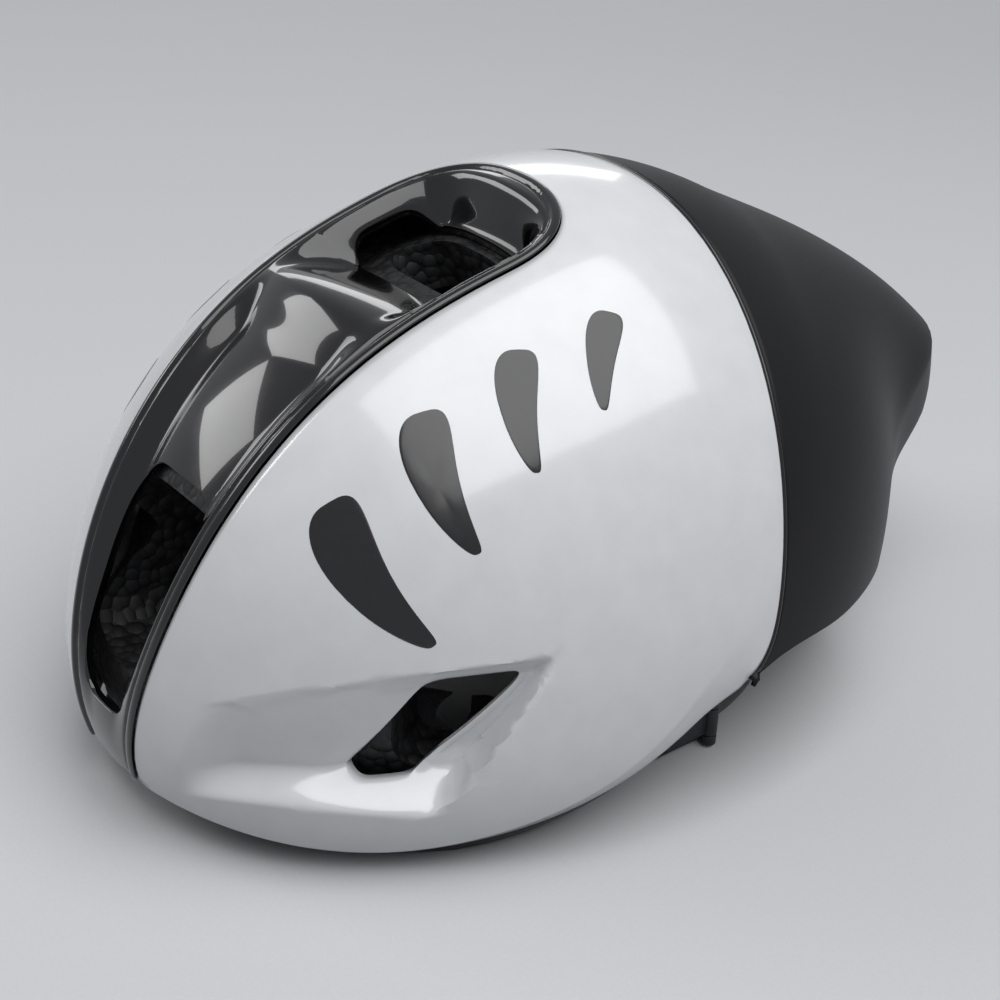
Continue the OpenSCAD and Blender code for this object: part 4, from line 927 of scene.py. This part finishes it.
@dataclass
class RearShell:
    """The matte tail behind the seam, with the wedge and two exhausts under its edge."""

    exhaust_v: tuple[float, float] = (0.75, 0.875)
    exhaust_u: tuple[float, float] = (0.025, 0.115)

    def angles(self, u: Array, v: Array) -> tuple[Array, Array]:
        """Angles at share v of the way from the seam to the rim, at share u to the ear."""
        top = FORM.seam_beside(u, FORM.seam_width + 1.5 * FORM.seam_gap)
        foot = FORM.rim_angles(180 - (180 - FORM.ear_turn) * u)
        return mix(top[0], foot[0], v), mix(top[1], foot[1], v)

    def build(self, finishes: Finishes) -> bpy.types.Object:
        """Makes the left half with its exhaust, and mirrors it."""
        u = blocks((0, 0.16, 40), (0.16, 0.98, 84))
        v = blocks((0, 0.6, 54), (0.6, 0.92, 64), (0.92, 1, 12))
        uu, vv = np.broadcast_arrays(u[None], v[:, None])
        theta, phi = self.angles(uu, vv)
        maker = MeshMaker()
        off = -FORM.tuck * 0.7 * soft_step((vv - 0.9) / 0.1)
        ids = maker.add(FORM.on_skin(theta, phi, off))
        half = [(b - a) / 2 for a, b in (self.exhaust_u, self.exhaust_v)]
        mid = [(a + b) / 2 for a, b in (self.exhaust_u, self.exhaust_v)]
        at = np.stack([(uu - mid[0]) / half[0], (vv - mid[1]) / half[1]], axis=-1)
        cleared, loop, ring = opening(at, 4.5, 1.14, (0.3, 0.6, 0.85, 1.0, 1.0))
        sunk = np.array([0, 0, 0, 0.4, 3.0])[:, None]
        spots = self.angles(mid[0] + half[0] * ring[..., 0], mid[1] + half[1] * ring[..., 1])
        maker.lead(ids, loop, FORM.on_skin(*spots, -sunk + 0 * spots[0]))
        maker.skin(ids, ~cleared)
        piece = maker.build("tail_shell", finishes.matte, outward=FORM.centre, mirrored=True)
        return thicken(piece, FORM.skin)


@dataclass
class Trims:
    """The glossy bead in the rear seam and the rim trim round the foam's lower edge."""

    stations: int = 360

    def seam_bead(self, finishes: Finishes) -> bpy.types.Object:
        """A low rounded bead swept along the seam on both sides."""
        u = np.concatenate([-blocks((0, 0.97, 110))[:0:-1], blocks((0, 0.97, 110))])
        low = 0.5 * FORM.seam_gap
        section = [(0, -1.6), (1, -1.6), (1, 0), (0.86, 0.22), (0.66, 0.34), (0.34, 0.34),
                   (0.14, 0.22), (0, 0)]
        rings = []
        for across, off in section:
            theta, phi = FORM.seam_beside(np.abs(u), low + across * FORM.seam_width)
            rings.append(FORM.on_skin(theta, phi * np.where(u < 0, -1, 1), off + 0 * u))
        maker = MeshMaker()
        maker.tube(np.stack(rings, axis=1))
        return maker.build("seam_bead", finishes.gloss)

    def rim(self, finishes: Finishes) -> bpy.types.Object:
        """A soft-edged band under the foam, with a rounded section at each station."""
        turn = np.arange(self.stations) * 360 / self.stations
        rise = FORM.rim_rise(turn)
        theta, phi = FORM.angles(FORM.round_aim(turn, rise))
        top = FORM.rim_height(turn) - 0.4
        low = np.maximum(top + 0.4 - FORM.trim_depth, 0)
        out = (FORM.reach(theta, phi) - FORM.tuck - FORM.skin - 0.3) * cosd(rise)
        wall = FORM.head_reach(FORM.round_aim(turn, rise)) + FORM.dial_hollow(turn, 0.0)
        inside = wall * cosd(rise) + 0.6
        top_in = FORM.centre_z + wall * sind(rise) - 0.4
        mid = (top + low) / 2
        far = [out, out - 0.25, out - 1.2, out - 2.2, out - 3.2, out - 4.4,
               inside + 3.4, inside + 2.2, inside + 1.2, inside + 0.4, inside + 0.05, inside]
        high = [top, mix(top, mid, 0.55), mid, mix(mid, low, 0.6), mix(mid, low, 0.9), low,
                low, mix(low, top_in, 0.04), mix(low, top_in, 0.18), mix(low, top_in, 0.45),
                mix(low, top_in, 0.8), top_in]
        rings = np.stack([np.stack([r * sind(turn), FORM.centre_y - r * cosd(turn), h], -1)
                          for r, h in zip(far, high)], axis=1)
        maker = MeshMaker()
        maker.tube(rings, closed=True)
        return maker.build("rim_trim_band", finishes.trim, smooth=60)


@dataclass
class FoamLiner:
    """The black bead-foam liner, with air tunnels behind every opening and channels in the
    head side."""

    spine: CentreSpine
    shell: UpperShell
    groove_depth: float = 4.0

    def gap(self, theta: Array, phi: Array, share: Array) -> Array:
        """How far the foam stays below the skin: under the channel, behind the recess and
        inside the tail."""
        wide = np.degrees(self.spine.side(theta) / FORM.reach(theta, phi))
        over = 1 - soft_step((np.abs(phi) / wide - 1.15) / 0.8)
        p = FORM.on_skin(theta, phi)
        side = 1 - soft_step(np.maximum(np.abs(p[..., 1] + self.shell.vent_ahead) - 40, 0) / 12
                             + np.maximum(np.abs(p[..., 2] - self.shell.vent_z) - 26, 0) / 10)
        under = np.max([self.spine.depth(theta + k) for k in (-8, -4, 0, 4, 8)], axis=0)
        under = np.where(theta < 100, under, 0)
        return (FORM.skin + 1.4 + over * under + side * (self.shell.recess_depth + 3.2)
                + 0.2 * FORM.tail(theta, phi)
                + (FORM.tuck + 2) * (1 - np.clip(share / 0.2, 0, 1)) ** 2)

    def holes(self) -> list[tuple[float, float, float, float, float]]:
        """The tunnels as middle turn, half turn, middle share, half share and exponent."""
        return [(0, 12, 0.215, 0.115, 4), (0, 33, 0.805, 0.055, 3), (42, 9, 0.175, 0.075, 4),
                (-42, 9, 0.175, 0.075, 4), (171, 6, 0.215, 0.115, 4), (-171, 6, 0.215, 0.115, 4)]

    def grooves(self, d: Array, share: Array) -> Array:
        """Depth of the channels that run back along the head side, widest at the top."""
        across = d[..., 0]
        lanes = sum(np.exp(-((across - lane) / 0.07) ** 4) for lane in (-0.42, 0.0, 0.42))
        return self.groove_depth * lanes * soft_step((share - 0.22) / 0.12)

    def build(self, finishes: Finishes) -> bpy.types.Object:
        """Makes the outer and the inner side, joined at the foot and through the tunnels."""
        turn = np.arange(-180, 180, 1.5) + 0.75
        share = blocks((0, 0.3, 44), (0.3, 0.7, 38), (0.7, 1.0, 34))
        tt, ss = np.broadcast_arrays(turn[None], share[:, None])
        maker = MeshMaker()

        def both(t: Array, w: Array) -> tuple[Array, Array]:
            """The outer and the inner point at a turn and a share of the rise."""
            rise = mix(FORM.rim_rise(np.abs(t), 0.6), 90, w)
            d = FORM.round_aim(t, rise)
            theta, phi = FORM.angles(d)
            outer = FORM.on_skin(theta, phi, -self.gap(theta, phi, w))
            near = FORM.head_reach(d) + self.grooves(d, w) + FORM.dial_hollow(t, w)
            return outer, FORM.centre + near[..., None] * d

        sides = [maker.add(p) for p in both(tt, ss)]
        keep = np.ones((len(share) - 1, len(turn)), bool)
        for mid_t, half_t, mid_w, half_w, power in self.holes():
            at = np.stack([(tt - mid_t) / half_t, (ss - mid_w) / half_w], axis=-1)
            cleared, loop, ring = opening(at, power, 1.3, (0.4, 0.75, 0.95, 1.0))
            keep[:, :-1] &= ~cleared
            spots = both(mid_t + half_t * ring[..., 0], mid_w + half_w * ring[..., 1])
            ends = [maker.lead(side, loop, spot)[-1] for side, spot in zip(sides, spots)]
            walls = maker.add(mix(spots[0][-1], spots[1][-1],
                                  np.array([0.25, 0.5, 0.75])[:, None, None]))
            maker.skin(np.concatenate([ends[0][None], walls, ends[1][None]]), ring=True)
        for side in sides:
            maker.skin(side, keep, ring=True)
        maker.skin(np.stack([sides[0][0], sides[1][0]]), ring=True)
        return maker.build("foam_liner", finishes.foam, smooth=50)


@dataclass
class SideMarks:
    """A plain row of slanted film blades on each side of the white shell."""

    count: int = 4
    lift: float = 0.12
    slant: float = 31.0
    half_length: float = 21.0
    half_width: float = 7.5
    bow: float = 2.5
    first: tuple[float, float] = (27.0, 28.0)
    pitch: tuple[float, float] = (15.0, 1.2)
    skin_reach: float = 124.0

    def build(self, finishes: Finishes) -> bpy.types.Object:
        """Lays blades with one blunt and one fine end on the skin, each smaller than the one
        in front of it."""
        maker = MeshMaker()
        ring = np.linspace(0, 2 * np.pi, 65)[:-1]
        radius = np.array([0.0, 0.35, 0.7, 0.9, 0.98, 1.0, 1.0])[:, None]
        high = np.array([1.0, 1.0, 1.0, 1.0, 0.9, 0.55, -0.6])[:, None] * self.lift
        along = powered(np.sin(ring), 0.7)
        across = powered(np.cos(ring), 0.6) * mix(1.15, 0.4, (along + 1) / 2)
        grow = 57.3 / self.skin_reach
        for k in range(self.count):
            size = 1 - 0.1 * k
            y = along * self.half_length * size * radius
            x = across * self.half_width * size * radius + self.bow * (y / self.half_length) ** 2
            lean = math.radians(self.slant + 4 * k)
            u = x * math.cos(lean) - y * math.sin(lean)
            v = x * math.sin(lean) + y * math.cos(lean)
            theta, phi = (a + b * k for a, b in zip(self.first, self.pitch))
            a, b = theta + grow * u / math.cos(math.radians(phi)), phi + grow * v
            maker.grid(FORM.on_skin(a, b, high + 0 * a), ring=True)
        return maker.build("side_marks", finishes.film, outward=FORM.centre, mirrored=True)


def crowded(count: int) -> Array:
    """Places from -1 to 1, crowded towards both ends like the cosine of even angles."""
    return -np.cos(np.linspace(0, np.pi, count))


def pillow(name: str, back: Array, front: Array, flat: Array,
           finishes: Finishes) -> bpy.types.Object:
    """Makes a closed knit cushion of two matching sheets joined at their edges."""
    maker = MeshMaker()
    sides = [maker.grid(sheet, flat=flat) for sheet in (back, front)]
    for edge in (np.s_[0], np.s_[-1], np.s_[:, 0], np.s_[:, -1]):
        maker.skin(np.stack([side[edge] for side in sides]))
    return maker.build(name, finishes.knit, smooth=70)


@dataclass
class HeadPad:
    """A foam pad on the head cavity's wall: crowned, drawn in between its corners, bound at
    its edge and sewn across."""

    name: str
    node: str
    theta: tuple[float, float]
    phi: tuple[float, float]
    channels: tuple[float, ...]
    thick: float = 7.0
    back: float = 2.1

    def place(self, u: Array, v: Array, depth: Array) -> Array:
        """A point of the pad at its two shares and its depth off the wall."""
        pull = 1 - 0.06 * (1 - u * u)
        drawn = 1 - 0.08 * (1 - v * v)
        d = FORM.aim(mix(self.theta[0], self.theta[1], 0.5 + u * drawn / 2),
                     mix(self.phi[0], self.phi[1], 0.5 + v * pull / 2))
        return FORM.centre + (FORM.head_reach(d) - depth)[..., None] * d

    def crown(self, u: Array, v: Array) -> Array:
        """Thickness of the pad: full in the middle, thin at the edge and in its channels."""
        edge = (1 - np.abs(u) ** 6) * (1 - np.abs(v) ** 6)
        groove = np.min([np.clip(np.abs(v - c) / 0.09, 0, 1) for c in self.channels], axis=0)
        groove = soft_step(groove)
        return self.thick * (0.22 + 0.78 * np.sqrt(np.maximum(edge, 0)) * (0.45 + 0.55 * groove))

    def build(self, finishes: Finishes) -> bpy.types.Object:
        uu, vv = np.broadcast_arrays(crowded(45)[:, None], crowded(121)[None])
        back = self.back + 0 * uu
        long = 1.5 * abs(self.phi[1] - self.phi[0]) / 2
        wide = 1.7 * abs(self.theta[1] - self.theta[0]) / 2
        flat = np.stack([uu * wide, vv * long], axis=-1)
        piece = pillow(self.name, self.place(uu, vv, back),
                       self.place(uu, vv, back + self.crown(uu, vv)), flat, finishes)
        ride_and_replace(piece, "helmet", "pad_fabric", self.node)
        return piece


@dataclass
class CradlePad:
    """The flat pillow on the head side of the yoke, with two sewn channels."""

    width: float = 42.0
    height: float = 17.0
    dial_z: float = 30.0
    back: float = 69.0
    thick: float = 3.0

    def build(self, finishes: Finishes) -> bpy.types.Object:
        """Makes the closed pillow: its sides are drawn in between the corners."""
        uu, vv = np.broadcast_arrays(crowded(33)[:, None], crowded(65)[None])
        full = np.sqrt(np.maximum((1 - uu ** 6) * (1 - vv ** 6), 0))
        seam = soft_step(np.min([np.abs(vv - c) / 0.08 for c in (-0.42, 0.42)], axis=0))
        x = vv * self.width / 2 * (1 - 0.06 * (1 - uu ** 2))
        z = self.dial_z + uu * self.height / 2 * (1 - 0.06 * (1 - vv ** 2))
        flat = np.stack([z, x], axis=-1)
        depth = self.thick * (0.2 + 0.8 * full * (0.5 + 0.5 * seam))
        back, front = (np.stack([x, self.back - d + 0 * x, z], axis=-1) for d in (0, depth))
        piece = pillow("cradle_cushion", back, front, flat, finishes)
        ride_and_replace(piece, "cradle", "pad_fabric", "cradle_pad")
        return piece


@dataclass
class ChinPad:
    """The soft sleeve pad along the left chin strap, with five sewn ribs."""

    turns: tuple[float, float] = (34.0, 66.0)
    depth: float = 11.5
    half_height: float = 7.2

    def build(self, finishes: Finishes) -> bpy.types.Object:
        """Sweeps a rounded section along the strap's oval, fuller between the ribs."""
        w = 0.5 - 0.5 * np.cos(np.linspace(0, np.pi, 97))
        turn = mix(self.turns[0], self.turns[1], w)[:, None]
        full = (0.35 + 0.65 * sind(180 * np.clip(w, 0.02, 0.98)) ** 0.4)[:, None]
        rib = (1 - 0.18 * cosd(360 * 2.5 * w) ** 8)[:, None]
        a = np.linspace(0, 360, 49)[None, :-1]
        gap = self.depth + 2 * full * rib * (1 + cosd(a) * 0.98)
        z = STRAP_HEIGHT + self.half_height * full * powered(sind(a), 0.7)
        spot = webbing_oval(turn, gap, Side.LEFT)
        flat = np.stack(np.broadcast_arrays(z, turn * 1.4), axis=-1)
        maker = MeshMaker()
        maker.tube(np.concatenate([spot, z[..., None]], axis=-1), flat=flat)
        piece = maker.build("chin_cushion", finishes.knit, smooth=70)
        ride_and_replace(piece, "helmet", "pad_fabric", "chin_pad")
        return piece


def refine(node: str, name: str, material: bpy.types.Material, body: str, slot: str,
           edge: float = 0.35) -> bpy.types.Object:
    """Copies a rigid CAD node, merges its triangles and breaks its sharp edges.

    Args:
        node: the node that the copy replaces.
        name: the new piece's name.
        material: its finish.
        body: the body it rides on.
        slot: the record's material slot; it is not used.
        edge: the radius of its edges in millimetres.

    Returns:
        The refined piece.
    """
    made = stand(name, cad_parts[node].data.copy())
    work = bmesh.new()
    work.from_mesh(made.data)
    bmesh.ops.remove_doubles(work, verts=work.verts, dist=4e-6)
    bmesh.ops.dissolve_limit(work, angle_limit=math.radians(0.6), verts=work.verts,
                             edges=work.edges)
    bmesh.ops.recalc_face_normals(work, faces=work.faces)
    work.to_mesh(made.data)
    work.free()
    made.data.materials.clear()
    made.data.materials.append(material)
    made.data.shade_smooth()
    made.data.set_sharp_from_angle(angle=math.radians(35))
    bevel = made.modifiers.new("edge", "BEVEL")
    bevel.width = edge * MM
    bevel.segments = 2
    bevel.limit_method = "ANGLE"
    bevel.angle_limit = math.radians(50)
    bevel.harden_normals = True
    ride_and_replace(made, body, slot, node)
    return made


STRAP_HEIGHT = 9.0


def webbing_oval(turn: Array, gap: Array | float, side: Side) -> Array:
    """The oval that the webbing follows, gap millimetres inside a line near the foam's wall."""
    along = np.where(cosd(turn) > 0, 103.5, 88.5)
    x = (77.0 - gap) * sind(turn) * side.value
    return np.stack(np.broadcast_arrays(x, FORM.centre_y - (along - gap) * cosd(turn)), -1)


@dataclass
class Strap:
    """A stretch of webbing that stands on edge inside the rim, with rounded selvedges, and
    whose height eases from its first end's height to the common strap height."""

    name: str
    node: str
    turns: tuple[float, float]
    gap: float
    side: Side
    first_height: float = STRAP_HEIGHT
    width: float = 14.0
    thick: float = 1.6

    def build(self, finishes: Finishes) -> bpy.types.Object:
        """Sweeps a lens-edged section along the oval."""
        turn = mix(self.turns[0], self.turns[1], np.linspace(0, 1, 90))
        height = mix(self.first_height, STRAP_HEIGHT,
                     soft_step((turn - self.turns[0] - 2) / 14))
        angle = np.linspace(0, 2 * np.pi, 41)[:-1]
        across = powered(np.cos(angle), 0.35) * self.width / 2
        deep = powered(np.sin(angle), 0.75)
        gap = self.gap + self.thick / 2 + deep * self.thick / 2 * 0.92
        spot = webbing_oval(turn[:, None], gap[None], self.side)
        z = height[:, None] + across[None]
        rings = np.concatenate([spot, z[..., None]], axis=-1)
        middle = webbing_oval(turn, self.gap, self.side)
        steps = np.linalg.norm(np.diff(middle, axis=0), axis=1)
        length = np.concatenate([[0], np.cumsum(steps)])
        flat = np.stack(np.broadcast_arrays(across[None], length[:, None]), axis=-1)
        maker = MeshMaker()
        maker.tube(rings, flat=flat)
        piece = maker.build(self.name, finishes.webbing, smooth=60)
        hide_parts(self.node)
        return piece


def straps(finishes: Finishes) -> None:
    """Makes the six straps; the right chin strap keeps its baked place on no body, the rest ride
    on the helmet.
    """
    for side in Side:
        word = side.name.lower()
        for strap in (
                Strap(f"front_web_{word}", f"front_strap_{word}", (49.5, 83.45), 4.5, side, 27.0),
                Strap(f"rear_web_{word}", f"rear_strap_{word}", (97.9, 150.0), 4.5, side),
                Strap(f"chin_web_{word}", f"chin_strap_{word}", (15.22, 83.1), 9.5, side)):
            piece = strap.build(finishes)
            if strap.node == "chin_strap_right":
                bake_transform(piece)
            else:
                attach(piece, "helmet")
            log.info("%s built", strap.name)


@dataclass
class Studio:
    """The pale floor, the soft lights and the camera at the photograph's angle."""

    backdrop: str = "#B4B6BA"
    floor_half: float = 12.0
    aim: tuple[float, float, float] = (0, 0, 0.08)
    camera_place: tuple[float, float, float] = (0.37243, -0.31186, 0.31853)
    camera_target: tuple[float, float, float] = (0, 0.00175, 0.064)
    camera_roll: float = -2.8

    def seen(self, tree: bpy.types.NodeTree) -> bpy.types.NodeSocket:
        """1 for the rays that show the background itself, and 0 for those that light the
        object by it."""
        path = add_node(tree, "ShaderNodeLightPath").outputs
        direct = calc(tree, "MAXIMUM", path["Is Camera Ray"], path["Is Glossy Ray"])
        return calc(tree, "MAXIMUM", direct, path["Is Transmission Ray"])

    def floor(self) -> None:
        """A wide plain paper floor, which far away passes into the backdrop's colour."""
        made = bpy.data.materials.new("pale_studio_paper")
        made.use_nodes = True
        tree = made.node_tree
        shader = tree.nodes["Principled BSDF"]
        where = object_place(tree)
        noise = add_node(tree, "ShaderNodeTexNoise", {"Vector": where, "Scale": 900.0})
        pale = two_tone(tree, noise.outputs["Fac"], "#D3D5D8", "#DADCDE", (0, 1))
        seen = self.seen(tree)
        paper = add_node(tree, "ShaderNodeMix", {0: seen, 6: linear("#8C8E91"), 7: pale},
                         data_type="RGBA")
        tree.links.new(paper.outputs[2], shader.inputs["Base Color"])
        shader.inputs["Roughness"].default_value = 0.85
        away = add_node(tree, "ShaderNodeVectorMath", {0: where}, operation="LENGTH")
        far = add_node(tree, "ShaderNodeMapRange",
                       {"Value": away.outputs["Value"], "From Min": 0.5, "From Max": 1.5},
                       interpolation_type="SMOOTHSTEP")
        glow = add_node(tree, "ShaderNodeEmission", {"Color": linear(self.backdrop)})
        both = add_node(tree, "ShaderNodeMixShader", {
            0: calc(tree, "MULTIPLY", far.outputs["Result"], seen),
            1: shader.outputs["BSDF"], 2: glow.outputs["Emission"]})
        tree.links.new(both.outputs[0], tree.nodes["Material Output"].inputs["Surface"])
        mesh = bpy.data.meshes.new("studio_floor")
        h = self.floor_half
        mesh.from_pydata([(-h, -h, 0), (h, -h, 0), (h, h, 0), (-h, h, 0)], [], [(0, 1, 2, 3)])
        mesh.materials.append(made)
        stand("studio_floor", mesh)

    def lamp(self, name: str, place: tuple, power: float, size: tuple[float, float]) -> None:
        """One rectangular softbox that looks at the helmet's middle."""
        data = bpy.data.lights.new(name, "AREA")
        data.shape = "RECTANGLE"
        data.size, data.size_y = size
        data.energy = power
        made = stand(name, data)
        made.location = place
        ahead = Vector(self.aim) - Vector(place)
        made.rotation_euler = ahead.to_track_quat("-Z", "Y").to_euler()

    def light(self) -> None:
        """A large softbox overhead, a smaller one ahead on the right, a rear strip and a pale
        surround."""
        self.lamp("key_box", (0.6, 0.05, 1.4), 20.5, (1.7, 1.4))
        self.lamp("front_box", (-1.1, -0.9, 0.85), 5.0, (0.75, 0.5))
        self.lamp("rear_strip", (-1.3, 0.7, 0.7), 2.0, (1.2, 0.25))
        world = bpy.data.worlds.new("studio")
        world.use_nodes = True
        tree = world.node_tree
        back = tree.nodes["Background"]
        back.inputs["Color"].default_value = linear("#E4E6EA")
        back.inputs["Strength"].default_value = 0.16
        plain = add_node(tree, "ShaderNodeBackground", {"Color": linear(self.backdrop)})
        both = add_node(tree, "ShaderNodeMixShader", {0: self.seen(tree),
                                                      1: back.outputs["Background"],
                                                      2: plain.outputs["Background"]})
        tree.links.new(both.outputs[0], tree.nodes["World Output"].inputs["Surface"])
        bpy.context.scene.world = world

    def camera(self) -> None:
        """The camera stands as the photograph's did, worked out from the helmet's outline."""
        data = bpy.data.cameras.new("camera")
        data.lens = 64.21
        data.sensor_width = 36.0
        data.shift_x = -0.0330
        data.shift_y = -0.0383
        data.clip_end = 60
        made = stand("camera", data)
        ahead = Vector(self.camera_target) - Vector(self.camera_place)
        roll = Quaternion(ahead.normalized(), math.radians(self.camera_roll))
        made.rotation_mode = "QUATERNION"
        made.rotation_quaternion = roll @ ahead.to_track_quat("-Z", "Y")
        made.location = self.camera_place
        bpy.context.scene.camera = made


def shells(finishes: Finishes) -> None:
    """Makes the shells, the trims, the foam liner and the side marks."""
    spine = CentreSpine()
    upper = UpperShell(spine)
    trims = Trims()
    for piece, slot, *nodes in (
            (spine.build(finishes), "gloss_black", "centre_spine"),
            (upper.build(finishes), "gloss_white", "upper_shell"),
            (RearShell().build(finishes), "matte_black", "rear_shell"),
            (trims.seam_bead(finishes), "gloss_black", "seam_trim"),
            (trims.rim(finishes), "satin_black", "rim_trim"),
            (FoamLiner(spine, upper).build(finishes), "foam_black", "eps_front",
             "eps_side_left", "eps_side_right", "eps_rear_left", "eps_rear",
             "eps_rear_right", "eps_crown")):
        ride_and_replace(piece, "helmet", slot, *nodes)
        log.info("%s built", piece.name)
    marks = SideMarks().build(finishes)
    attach(marks, "helmet")


def cushions(finishes: Finishes) -> None:
    """Makes the five pads in the head cavity, the cradle's cushion and the chin's."""
    for pad in (HeadPad("brow_cushion", "brow_pad", (-6, 4), (-38, 38), (-0.5, 0, 0.5)),
                HeadPad("crown_cushion", "crown_pad", (82, 114), (-9, 9), (0,)),
                HeadPad("side_cushion_left", "side_pad_left", (52, 118), (33, 47), (0,)),
                HeadPad("side_cushion_right", "side_pad_right", (52, 118), (-47, -33), (0,)),
                HeadPad("nape_cushion", "nape_pad", (121, 134), (-22, 22), (-0.4, 0.4))):
        pad.build(finishes)
        log.info("%s built", pad.name)
    CradlePad().build(finishes)
    ChinPad().build(finishes)


def hardware(finishes: Finishes) -> None:
    """Refines the moulded and metal parts of the fit system, the straps and the buckle."""
    for material, slot, body, nodes in (
            (finishes.webbing, "webbing", "helmet", ("hook_dots",)),
            (finishes.nylon, "nylon", "helmet",
             ("hanger_rail", "temple_anchor_left", "temple_anchor_right", "strap_anchors",
              "divider_left", "divider_right", "buckle_socket")),
            (finishes.nylon, "nylon", "cradle", ("cradle_yoke", "gear_cover", "detent_ring")),
            (finishes.nylon, "nylon", "left_arm", ("arm_left",)),
            (finishes.nylon, "nylon", "right_arm", ("arm_right",)),
            (finishes.nylon, "nylon", "left_lever", ("lever_left",)),
            (finishes.nylon, "nylon", "right_lever", ("lever_right",)),
            (finishes.nylon, "nylon", "tongue", ("buckle_tongue",)),
            (finishes.steel, "steel", "helmet", ("lever_pins",)),
            (finishes.steel, "steel", "cradle", ("cover_screws",)),
            (finishes.steel, "steel", "dial", ("dial_screw",)),
            (finishes.acetal, "acetal", "dial", ("dial_pinion",)),
            (finishes.rubber, "grip_rubber", "dial", ("dial_knob",)),
            (finishes.rubber, "grip_rubber", "helmet", ("strap_keeper",)),
            (finishes.nickel, "plated", "helmet", ("magnet_socket",)),
            (finishes.nickel, "plated", "tongue", ("magnet_tongue",))):
        for node in nodes:
            refine(node, node + "_fine", material, body, slot)


def main() -> None:
    """Builds the helmet's sub-assemblies in order, then the studio."""
    logging.basicConfig(level=logging.INFO, format="%(name)s: %(message)s")
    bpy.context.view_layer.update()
    finishes = Finishes()
    shells(finishes)
    cushions(finishes)
    straps(finishes)
    hardware(finishes)
    studio = Studio()
    studio.floor()
    studio.light()
    studio.camera()
    view = bpy.context.scene.view_settings
    view.view_transform = "Standard"


if __name__ == "__main__":
    main()
